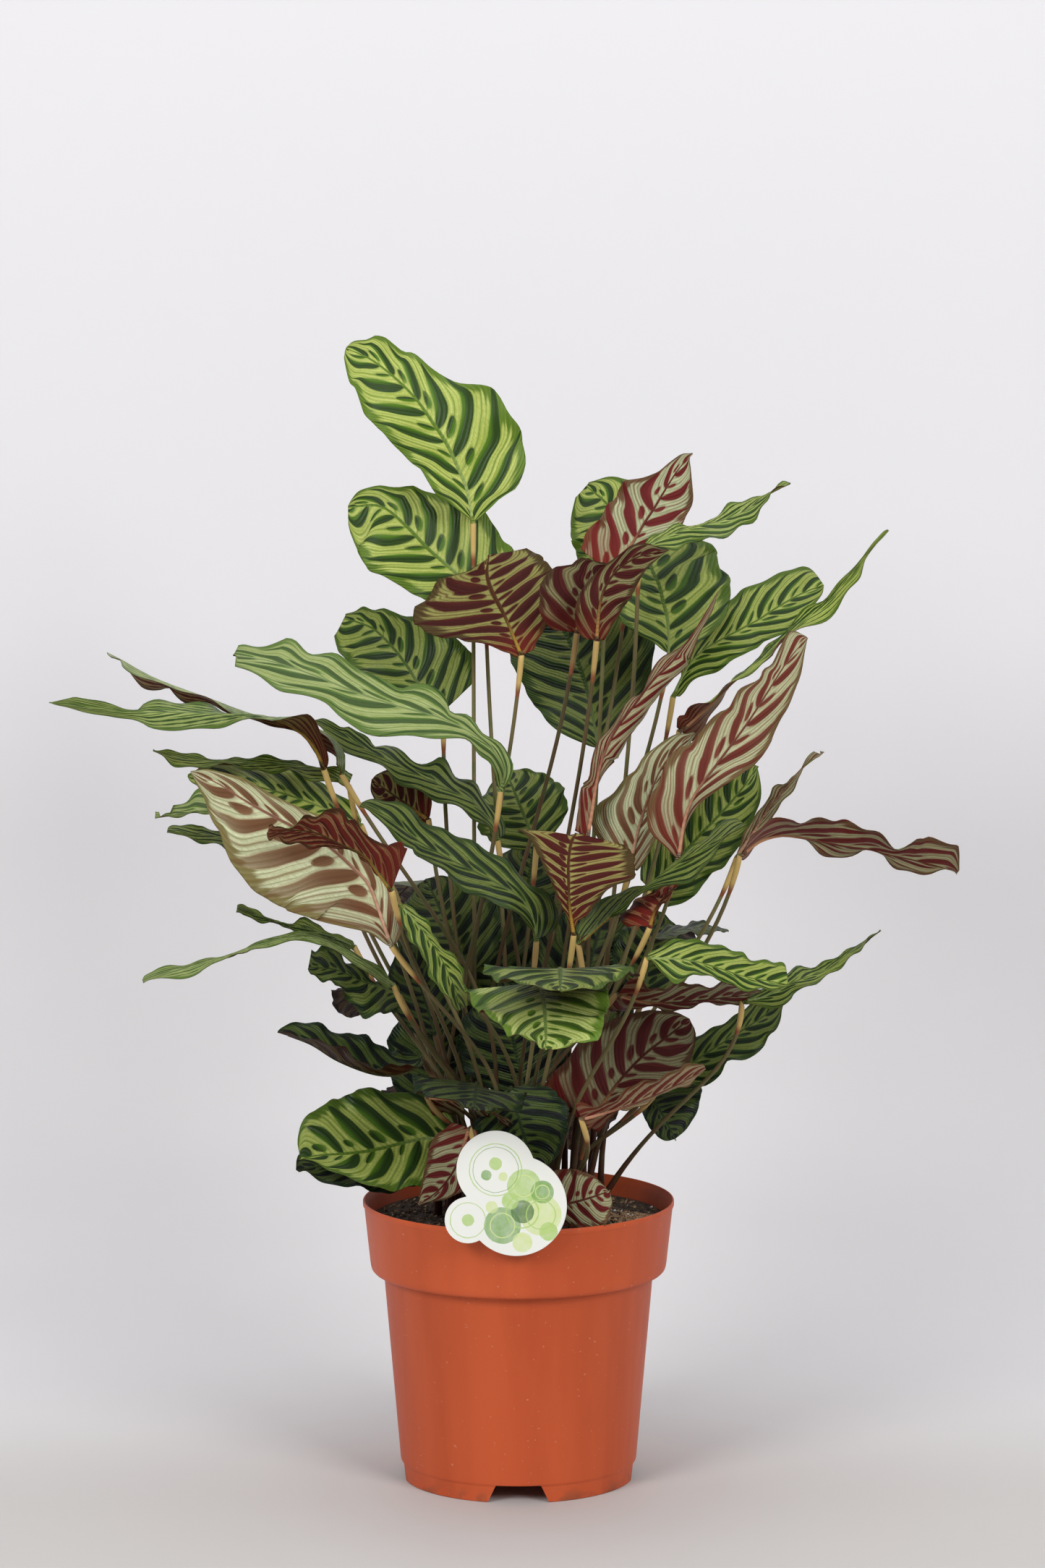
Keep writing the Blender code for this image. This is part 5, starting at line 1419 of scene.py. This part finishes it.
def makeLeaves():
    roots = sharedRoots()
    stems = {}
    for row in leaves:
        stems.setdefault(row["stemOf"] or row["name"], []).append(row)
    total = 0
    for stem, rows in stems.items():
        node = ("leaf_" if len(rows) == 1 else "leaves_") + stem
        tree = solidTree(node)
        mesh = {"points": [], "faces": [], "uvs": [], "slots": []}
        values = {"leafPattern": [], "leafLook": []}
        for row in rows:
            seed = (leaves.index(row) * 0.618) % 1
            shift, bend = findPlace(row, roots[stem], tree)
            row = refined(row, shift)
            axes = bladeAxes(row)
            before = len(mesh["points"])
            fineStalk(row, axes, roots[stem], bend, mesh)
            fineBlade(row, axes, seed, mesh)
            added = len(mesh["points"]) - before
            height = 0.5 * (row["base"][1] + row["tip"][1])
            # painted shade: a leaf gets darker the lower it hangs, unless shades gives its own
            paintedShade = min(1.0, max(0.0, (blade["litAbove"] - height) / blade["dimming"]))
            look = (*shades.get(row["name"], (paintedShade,)), 0.0, 0.0)[:3]
            values["leafPattern"] += [seed * 5, row["sweep"], row["pairs"]] * added
            values["leafLook"] += list(look) * added
        piece = newPiece("grown_" + node, mesh["points"], mesh["faces"],
                         (upperMaterial, underMaterial, stalkMaterial), mesh["slots"])
        giveUvs(piece, "blade", mesh["uvs"])
        for name, given in values.items():
            giveValues(piece, name, given)
        dress(piece, node)
        total += sum(len(face) - 2 for face in mesh["faces"])
    print("leaves made:", len(stems), "pieces,", total, "triangles")


makeLeaves()

# The pot

pot = {
    "height": 190.0,
    "rimRadius": 105.0,
    "bandFoot": 99.5,
    "bandBottom": 142.0,
    "bodyTop": 91.0,
    "base": 78.5,
    "wall": 2.6,
    "floorUnder": 13.0,
    "floorTop": 15.5,
    "sides": 160,
    "notches": 4,
    "notchHeight": 12.0,
    "notchTop": 30.0,
    "notchBottom": 41.0,
    "drains": 6,
    "drainRadius": 6.0,
    "drainRing": 48.0,
    "colour": (0.57, 0.101, 0.032),
    "shade": (0.49, 0.081, 0.025),
    "speck": (0.62, 0.30, 0.20),
    "specks": 0.55,  # how much of the plastic's colour a speck covers
    "dirt": (0.11, 0.06, 0.035),
    "dirtiness": 0.45,  # what the dirt on the foot covers
    "dirtTop": 0.012,  # in metres, like the grain's depth
    "grain": 0.0003,
    "specular": 0.22,
    "gloss": (0.36, 0.22),  # roughness: least, more in the streaks
}


def makePotMaterial():
    material, tree, shader = newMaterial("pottedPlastic", Specular_IOR_Level=pot["specular"])
    here = objectPlace(tree)
    x, y, z = parts(tree, here)
    streaks = clouds(tree, vector(tree, times(tree, x, 9), times(tree, y, 9), z), 3.0, 4.0)[0]
    colour = mix(tree, soft(tree, streaks, 0.35, 0.7), pot["colour"], pot["shade"])
    specks = clouds(tree, here, 420.0, 2.0)[0]
    specks = times(tree, soft(tree, specks, 0.70, 0.76), pot["specks"])
    colour = mix(tree, specks, colour, pot["speck"])
    low = soft(tree, z, pot["dirtTop"], 0.0)
    dirt = clouds(tree, here, 90.0, 4.0)[0]
    dirt = times(tree, soft(tree, dirt, 0.45, 0.65), times(tree, low, pot["dirtiness"]))
    colour = mix(tree, dirt, colour, pot["dirt"])
    feed(tree, colour, shader.inputs["Base Color"])
    grain = clouds(tree, here, 900.0, 3.0)[0]
    least, more = pot["gloss"]
    feed(tree, scaled(tree, streaks, more, least), shader.inputs["Roughness"])
    bump(tree, shader, grain, 0.12, pot["grain"])
    return material


def potProfile():
    # from the middle of the floor's underside up the outside, over the lip and down the inside
    height, rim, wall, base = pot["height"], pot["rimRadius"], pot["wall"], pot["base"]
    bandFoot, bandBottom, bodyTop = pot["bandFoot"], pot["bandBottom"], pot["bodyTop"]
    innerBand, innerBody = bandFoot - wall, bodyTop - wall
    lip = [(rim - 0.8 - 0.8 * math.cos(a), height - 1.4 + 1.4 * math.sin(a))
           for a in [math.pi * (1 - k / 8) for k in range(9)]]
    return [
        (0, pot["floorUnder"]),
        (base - wall - 0.2, pot["floorUnder"]),
        (base - wall - 0.6, 0),
        (base - 0.8, 0),
        (base - 0.2, 0.4),
        (base, 1.2),
        (base + 0.35, 10.6),
        (base + 0.6, 11.5),
        (base + 1.2, 12.2),
        (base + 1.4, 13.2),
        (bodyTop - 0.06, bandBottom - 1.2),
        (bodyTop + 0.4, bandBottom - 0.5),
        (bandFoot - 3.2, bandBottom),
        (bandFoot - 1.4, bandBottom + 0.5),
        (bandFoot - 0.4, bandBottom + 1.6),
        (bandFoot + 0.1, bandBottom + 3.2),
        (bandFoot + 0.5, bandBottom + 5.6),
        (rim - 1.0, height - 4.8),
        (rim - 0.6, height - 4.2),
        (rim - 0.1, height - 3.4),
        *lip[1:-1],
        (rim - 2.2, height - 2.2),
        (rim - wall - 1.2, height - 5),
        (innerBand, bandBottom + 6),
        (innerBand - 1.5, bandBottom + 3.2),
        (innerBody, bandBottom),
        (base - wall + 1.4, pot["floorTop"] + 2),
        (base - wall - 0.6, pot["floorTop"]),
        (0, pot["floorTop"]),
    ]


def cutAway(piece, points, faces):
    cutter = newPiece("cutter", points, faces, (), smooth=False)
    modifier = piece.modifiers.new("cut", "BOOLEAN")
    modifier.operation = "DIFFERENCE"
    modifier.object = cutter
    made = bpy.data.meshes.new_from_object(piece.evaluated_get(bpy.context.evaluated_depsgraph_get()))
    piece.modifiers.clear()
    piece.data = made
    bpy.data.objects.remove(cutter)


def makePot():
    points, faces = lathe(potProfile(), pot["sides"])
    piece = newPiece("nursery_pot", points, faces, (makePotMaterial(),))
    low, high = pot["notchBottom"] / 2, pot["notchTop"] / 2
    spread = (low - high) / pot["notchHeight"] * 2
    top = pot["notchHeight"]
    corners = [(-low - spread, -2), (low + spread, -2), (high, top), (-high, top)]
    for k in range(pot["notches"]):
        spin = Matrix.Rotation(2 * math.pi * k / pot["notches"], 3, "Z")
        box = [spin @ Vector((x, y, z)) for y in (-40, -90) for x, z in corners]
        sides = [(3, 2, 1, 0), (4, 5, 6, 7)] + [(i, (i + 1) % 4, 4 + (i + 1) % 4, 4 + i) for i in range(4)]
        cutAway(piece, box, sides)
    for k in range(pot["drains"]):
        turn = 2 * math.pi * (k + 0.46) / pot["drains"]
        centre = Vector((math.cos(turn), math.sin(turn), 0)) * pot["drainRing"]
        radius = pot["drainRadius"]
        drill, sides = lathe([(0, 8), (radius, 8), (radius, 20), (0, 20)], 24)
        cutAway(piece, [p + centre for p in drill], sides)
    piece.data.set_sharp_from_angle(angle=math.radians(38))
    dress(piece, "pot")
    print("pot made:", len(piece.data.polygons), "faces")


makePot()


# The soil: one uneven body, with crumbs of peat, bark and perlite on it

soil = {
    "top": 177.0,
    "sides": 96,
    "moundHeight": 9.0,
    "moundX": 76.0,
    "moundY": -28.0,
    "moundSpread": 17.0,
    "roughness": 1.1,
    "clear": 0.3,  # between the soil and the pot
    "rings": 44,
    "peat": ((0.030, 0.018, 0.012), (0.085, 0.055, 0.034)),  # dark and light
    "bark": ((0.17, 0.085, 0.04), (0.40, 0.27, 0.15)),
    "perlite": ((0.45, 0.42, 0.36), (0.75, 0.73, 0.68)),
    "crumbs": (  # name, what of, count, radius, stretch, share that lies in the mound
        ("peat_crumbs", "peat", 2600, (0.5, 1.5), (1.0, 1.5), 0.0),
        ("bark_chips", "bark", 420, (0.5, 1.3), (1.2, 3.2), 0.0),
        ("mound_bark", "bark", 520, (0.5, 1.5), (1.2, 3.4), 1.0),
        ("perlite_bits", "perlite", 90, (0.6, 1.4), (1.0, 1.4), 0.4),
    ),
}


def soilHeight(x, y):
    away = (x - soil["moundX"]) ** 2 + (y - soil["moundY"]) ** 2
    heap = math.exp(-away / (2 * soil["moundSpread"] ** 2))
    uneven = math.sin(x / 11 + 1.3) * math.cos(y / 13) + 0.6 * math.sin(x / 7 - y / 9)
    edge = max(0.0, 1 - (math.hypot(x, y) / (pot["rimRadius"] - 8)) ** 6)
    rough = noise.fractal(Vector((x, y, 0)) / 5, 1.0, 2.0, 4) * soil["roughness"]
    return soil["top"] + (0.8 * uneven + soil["moundHeight"] * heap + rough) * edge


def makeSoilMaterial(name, colours, scale, roughness=0.95):
    material, tree, shader = newMaterial(name, Roughness=roughness)
    here = objectPlace(tree)
    grain = clouds(tree, here, scale, 5.0, 0.65)[0]
    feed(tree, mix(tree, soft(tree, grain, 0.35, 0.65), *colours), shader.inputs["Base Color"])
    bump(tree, shader, grain, 0.8, 0.002)
    return material


def makeSoil(peat):
    innerBody = pot["bodyTop"] - pot["wall"] - soil["clear"]
    innerBand = pot["bandFoot"] - pot["wall"] - soil["clear"]
    rise = (soil["top"] - pot["bandBottom"] - 6) / (pot["height"] - 5 - pot["bandBottom"] - 6)
    topRadius = innerBand + (pot["rimRadius"] - 1.2 - pot["bandFoot"]) * rise - 0.8
    rings = soil["rings"]
    profile = [
        (0, pot["floorTop"] + soil["clear"]),
        (pot["base"] - pot["wall"] - 0.9, pot["floorTop"] + soil["clear"]),
        (innerBody - 0.8, pot["bandBottom"]),
        (innerBand - 1.8, pot["bandBottom"] + 4.2),
        (innerBand - 0.6, pot["bandBottom"] + 7),
        *[(topRadius * (1 - k / rings), soil["top"]) for k in range(rings)],
        (0, soil["top"]),
    ]
    points, faces = lathe(profile, soil["sides"])
    points = [p if p.z < soil["top"] else Vector((p.x, p.y, soilHeight(p.x, p.y))) for p in points]
    piece = newPiece("potting_soil", points, faces, (peat,))
    dress(piece, "soil")
    return topRadius


def crumbShape():
    # an irregular lump with 12 corners
    g = (1 + math.sqrt(5)) / 2
    corners = [(-1, g, 0), (1, g, 0), (-1, -g, 0), (1, -g, 0), (0, -1, g), (0, 1, g),
               (0, -1, -g), (0, 1, -g), (g, 0, -1), (g, 0, 1), (-g, 0, -1), (-g, 0, 1)]
    faces = [(0, 11, 5), (0, 5, 1), (0, 1, 7), (0, 7, 10), (0, 10, 11), (1, 5, 9), (5, 11, 4),
             (11, 10, 2), (10, 7, 6), (7, 1, 8), (3, 9, 4), (3, 4, 2), (3, 2, 6), (3, 6, 8),
             (3, 8, 9), (4, 9, 5), (2, 4, 11), (6, 2, 10), (8, 6, 7), (9, 8, 1)]
    return [Vector(c).normalized() for c in corners], faces


def makeCrumbs(name, material, topRadius, count, size, stretch, inMound):
    corners, faces = crumbShape()
    points = []
    allFaces = []
    for _ in range(count):
        if random.random() < inMound:
            x = random.gauss(soil["moundX"], 13)
            y = random.gauss(soil["moundY"], 15)
        else:
            radius = (topRadius - 2) * math.sqrt(random.random())
            turn = random.uniform(0, 2 * math.pi)
            x, y = radius * math.cos(turn), radius * math.sin(turn)
        if math.hypot(x, y) > topRadius - 2:
            continue
        radius = random.uniform(*size)
        lengths = Vector((radius * random.uniform(*stretch), radius, radius * random.uniform(0.5, 0.9)))
        spin = Matrix.Rotation(random.uniform(0, math.pi), 3, "Z")
        spin = spin @ Matrix.Rotation(random.gauss(0, 0.4), 3, "Y")
        centre = Vector((x, y, soilHeight(x, y) + 0.2 * radius))
        first = len(points)
        for corner in corners:
            lump = corner * random.uniform(0.75, 1.15)
            points.append(centre + spin @ Vector([a * b for a, b in zip(lump, lengths)]))
        allFaces += [tuple(first + i for i in face) for face in faces]
    piece = newPiece(name, points, allFaces, (material,), smooth=False)
    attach(piece, "root")


soilMaterials = {
    "peat": makeSoilMaterial("pottingPeat", soil["peat"], 260.0),
    "bark": makeSoilMaterial("barkChips", soil["bark"], 400.0, 0.85),
    "perlite": makeSoilMaterial("perlite", soil["perlite"], 500.0, 0.8),
}
soilRadius = makeSoil(soilMaterials["peat"])
for name, kind, *numbers in soil["crumbs"]:
    makeCrumbs(name, soilMaterials[kind], soilRadius, *numbers)
print("soil made")


# The plant label: a card of three merged discs on a stake, printed with plain round shapes

label = {
    "thickness": 0.8,
    "y": -110.5,
    "tilt": 4.0,
    "discs": ((-1.5, 183.5, 33.0), (-15.0, 207.0, 25.6), (-33.0, 174.0, 15.2)),  # x, z, radius
    "sides": 240,
    "stakeWidth": 8.0,
    "stakeX": -3.0,
    "stakeTop": 197.0,
    "insideY": -94.5,
    "stakeBottom": 158.0,
    "card": (0.80, 0.81, 0.76),
    "greens": ((0.20, 0.38, 0.10), (0.42, 0.60, 0.18), (0.62, 0.72, 0.32), (0.10, 0.20, 0.07)),
    "spots": (  # washes in plain round shapes: x, z, radius, width of the ring or 0 for a disc, green
        (16, -6, 13.5, 0, 2), (-9, -13, 12, 0, 0), (5, 13, 11, 0, 1), (17, 9, 7.5, 0, 0),
        (4, -4, 7.5, 0, 3), (-4, 3, 5.5, 0, 1), (21, -17, 6, 0, 1), (4, -24, 6.5, 0, 2),
        (-16, -1, 4, 0, 2), (4, -4, 10.5, 1, 1), (16, -6, 9.5, 0.8, 1), (-9, -13, 8, 0.8, 2),
        (5, 13, 7, 0.8, 2), (17, 9, 4.5, 0.7, 2), (-13.5, 23.5, 17, 0.7, 1),
        (-13.5, 23.5, 14.8, 0.45, 0), (-31.5, -9.5, 11.5, 0.6, 1), (-31.5, -9.5, 4, 0, 1),
        (-13.5, 27.5, 4.2, 0, 1), (-19.5, 20, 3.4, 0, 0), (-8.5, 19, 3, 0, 2),
    ),
    "bevel": 0.18,
}


def labelRadius(turn):
    middle = label["discs"][0]
    reach = 0
    for x, z, radius in label["discs"]:
        away = Vector((x - middle[0], z - middle[1]))
        along = away.dot(Vector((math.cos(turn), math.sin(turn))))
        left = along * along - away.length_squared + radius * radius
        if left >= 0:
            reach = max(reach, along + math.sqrt(left))
    return reach


def makeCardMaterial():
    material, tree, shader = newMaterial("printedCard", Roughness=0.38)
    x, z, _ = parts(tree, uvOf(tree, "card"))
    cloudy = clouds(tree, vector(tree, x, z, 0.0), 0.11, 4.0, 0.6)[0]
    shake = scaled(tree, clouds(tree, vector(tree, x, z, 4.0), 0.3, 2.0)[0], 1.6, -0.8)
    colour = label["card"]
    for spotX, spotZ, radius, ring, green in label["spots"]:
        dx = minus(tree, x, spotX)
        dz = minus(tree, z, spotZ)
        away = calc(tree, "SQRT", scaled(tree, dx, dx, times(tree, dz, dz)))
        away = scaled(tree, shake, 0.5, away)
        if ring:
            offRing = calc(tree, "ABSOLUTE", minus(tree, away, radius))
            inside = minus(tree, ring / 2, offRing)
        else:
            inside = minus(tree, radius, away)
        mask = soft(tree, inside, -0.15, 0.15)
        wash = times(tree, mask, scaled(tree, cloudy, 0.9, 0.35), clamp=True)
        colour = mix(tree, wash, colour, label["greens"][green])
    feed(tree, colour, shader.inputs["Base Color"])
    return material


def cardPoint(x, y, z):
    middle = place((label["discs"][0][0], label["discs"][0][1], label["y"]))
    tilt = Matrix.Rotation(-math.radians(label["tilt"]), 3, "X")
    return tilt @ Vector((x, y, z)) + middle


def makeLabel():
    printed = makeCardMaterial()
    plain, _, _ = newMaterial("plainCard", Base_Color=(*label["card"], 1), Roughness=0.4)
    half = label["thickness"] / 2
    points = []
    uvs = []
    sides = label["sides"]
    bevel = label["bevel"]
    for y, inset in ((-half, bevel), (-half + bevel, 0.0), (half - bevel, 0.0), (half, bevel)):
        for k in range(sides):
            turn = 2 * math.pi * k / sides
            reach = labelRadius(turn) - inset
            points.append(cardPoint(reach * math.cos(turn), y, reach * math.sin(turn)))
            uvs.append((reach * math.cos(turn), reach * math.sin(turn)))
    faces = [tuple(range(sides)), tuple(range(4 * sides - 1, 3 * sides - 1, -1))]
    slots = [0, 1]
    for ring in range(3):
        for k in range(sides):
            j = (k + 1) % sides
            a = ring * sides
            faces.append((a + k, a + sides + k, a + sides + j, a + j))
            slots.append(1)
    piece = newPiece("label_card", points, faces, (printed, plain), slots, smooth=False)
    giveUvs(piece, "card", uvs)
    dress(piece, "label")

    # the stake, from behind the card over the rim and down into the soil: y and z of its middle line
    start = label["stakeTop"] - 2.6
    middle = cardPoint(0, 0, 0)
    front = label["y"] + (start - middle.z) * math.tan(math.radians(label["tilt"])) + 0.3
    inside = label["insideY"]
    route = [(front, start), (front + 2, start + 1.2), (front + 5, label["stakeTop"] - 0.8),
             (inside - 3, label["stakeTop"] - 1.2), (inside - 0.8, label["stakeTop"] - 2.6),
             (inside, label["stakeTop"] - 5), (inside, label["stakeBottom"])]
    strip = []
    for index, (y, z) in enumerate(route):
        before, after = route[max(index - 1, 0)], route[min(index + 1, len(route) - 1)]
        along = (Vector(after) - Vector(before)).normalized()
        off = Vector((-along.y, along.x)) * half
        for side, turn in ((-1, 1), (1, 1), (1, -1), (-1, -1)):
            x = label["stakeX"] + side * label["stakeWidth"] / 2
            strip.append(Vector((x, y + off.x * turn, z + off.y * turn)))
    faces = [(3, 2, 1, 0), tuple(len(strip) - 4 + i for i in range(4))]
    for first in range(0, len(strip) - 4, 4):
        for i in range(4):
            j = (i + 1) % 4
            faces.append((first + i, first + j, first + 4 + j, first + 4 + i))
    stake = newPiece("label_stake", strip, faces, (plain,), smooth=False)
    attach(stake, "root")
    print("label made")


makeLabel()


# Floor and wall in one sheet, with a soft bend between them

studio = {
    "wallY": 0.62,
    "bendRadius": 0.35,
    "floor": (0.55, 0.53, 0.515),
    # the wall low down and high up: painted shade below and painted light above
    "wallLow": (0.69, 0.68, 0.69),
    "wallHigh": (0.74, 0.73, 0.75),
    "sky": (0.95, 0.97, 1.0, 1),
    "skyStrength": 0.21,
    "lights": (  # name, where, watts, size; all in metres
        ("leftBox", (-1.9, -2.6, 2.1), 64, 1.3),
        ("rightBox", (1.8, -2.6, 1.9), 58, 1.3),
        ("topBox", (0.0, -0.5, 3.0), 26, 1.8),
    ),
    "lightsAim": (0, 0, 0.35),
    "sensor": 36,
    "lens": 114.2,
    "cameraTilt": 6.715,  # degrees below level
}


def makeStudio():
    profile = [(-6.0, 0.0), (studio["wallY"] - studio["bendRadius"], 0.0)]
    for k in range(1, 17):
        turn = math.pi / 2 * k / 16
        y = studio["wallY"] - studio["bendRadius"] * (1 - math.sin(turn))
        profile.append((y, studio["bendRadius"] * (1 - math.cos(turn))))
    profile.append((studio["wallY"], 4.5))
    points = [(x / mm, y / mm, z / mm) for y, z in profile for x in (-5, 5)]
    faces = [(2 * i, 2 * i + 1, 2 * i + 3, 2 * i + 2) for i in range(len(profile) - 1)]
    material, tree, shader = newMaterial("studioPaper", Roughness=0.7)
    x, y, z = parts(tree, objectPlace(tree))
    # painted light: the wall is lighter higher up and darker towards the floor
    wall = mix(tree, soft(tree, z, 0.15, 0.55), studio["wallLow"], studio["wallHigh"])
    colour = mix(tree, soft(tree, y, -0.1, 0.3), studio["floor"], wall)
    feed(tree, colour, shader.inputs["Base Color"])
    # the sheet shows from its front only, so that the back of the plant can be looked at
    nodes, links = tree.nodes, tree.links
    clear = nodes.new("ShaderNodeBsdfTransparent")
    blend = nodes.new("ShaderNodeMixShader")
    links.new(nodes.new("ShaderNodeNewGeometry").outputs["Backfacing"], blend.inputs[0])
    links.new(shader.outputs[0], blend.inputs[1])
    links.new(clear.outputs[0], blend.inputs[2])
    links.new(blend.outputs[0], nodes["Material Output"].inputs["Surface"])
    sheet = newPiece("studio_sheet", points, faces, (material,))

    for name, where, power, size in studio["lights"]:
        data = bpy.data.lights.new(name, "AREA")
        data.energy = power
        data.size = size
        lamp = bpy.data.objects.new(name, data)
        lamp.location = where
        aim = Vector(studio["lightsAim"]) - Vector(where)
        lamp.rotation_euler = aim.to_track_quat("-Z", "Y").to_euler()
        scene.collection.objects.link(lamp)
    world = bpy.data.worlds.new("studioLight")
    world.use_nodes = True
    sky = world.node_tree.nodes["Background"].inputs
    sky["Color"].default_value = studio["sky"]
    sky["Strength"].default_value = studio["skyStrength"]
    scene.world = world
    scene.view_settings.view_transform = "Standard"


def makeCamera():
    data = bpy.data.cameras.new("photoCamera")
    data.sensor_width = studio["sensor"]
    data.lens = studio["lens"]
    camera = bpy.data.objects.new("photoCamera", data)
    camera.location = (eye["x"] * mm, -eye["distance"] * mm, eye["height"] * mm)
    camera.rotation_euler = (math.radians(90 - studio["cameraTilt"]), 0, 0)
    scene.collection.objects.link(camera)
    scene.camera = camera


makeStudio()
makeCamera()
print("studio made")
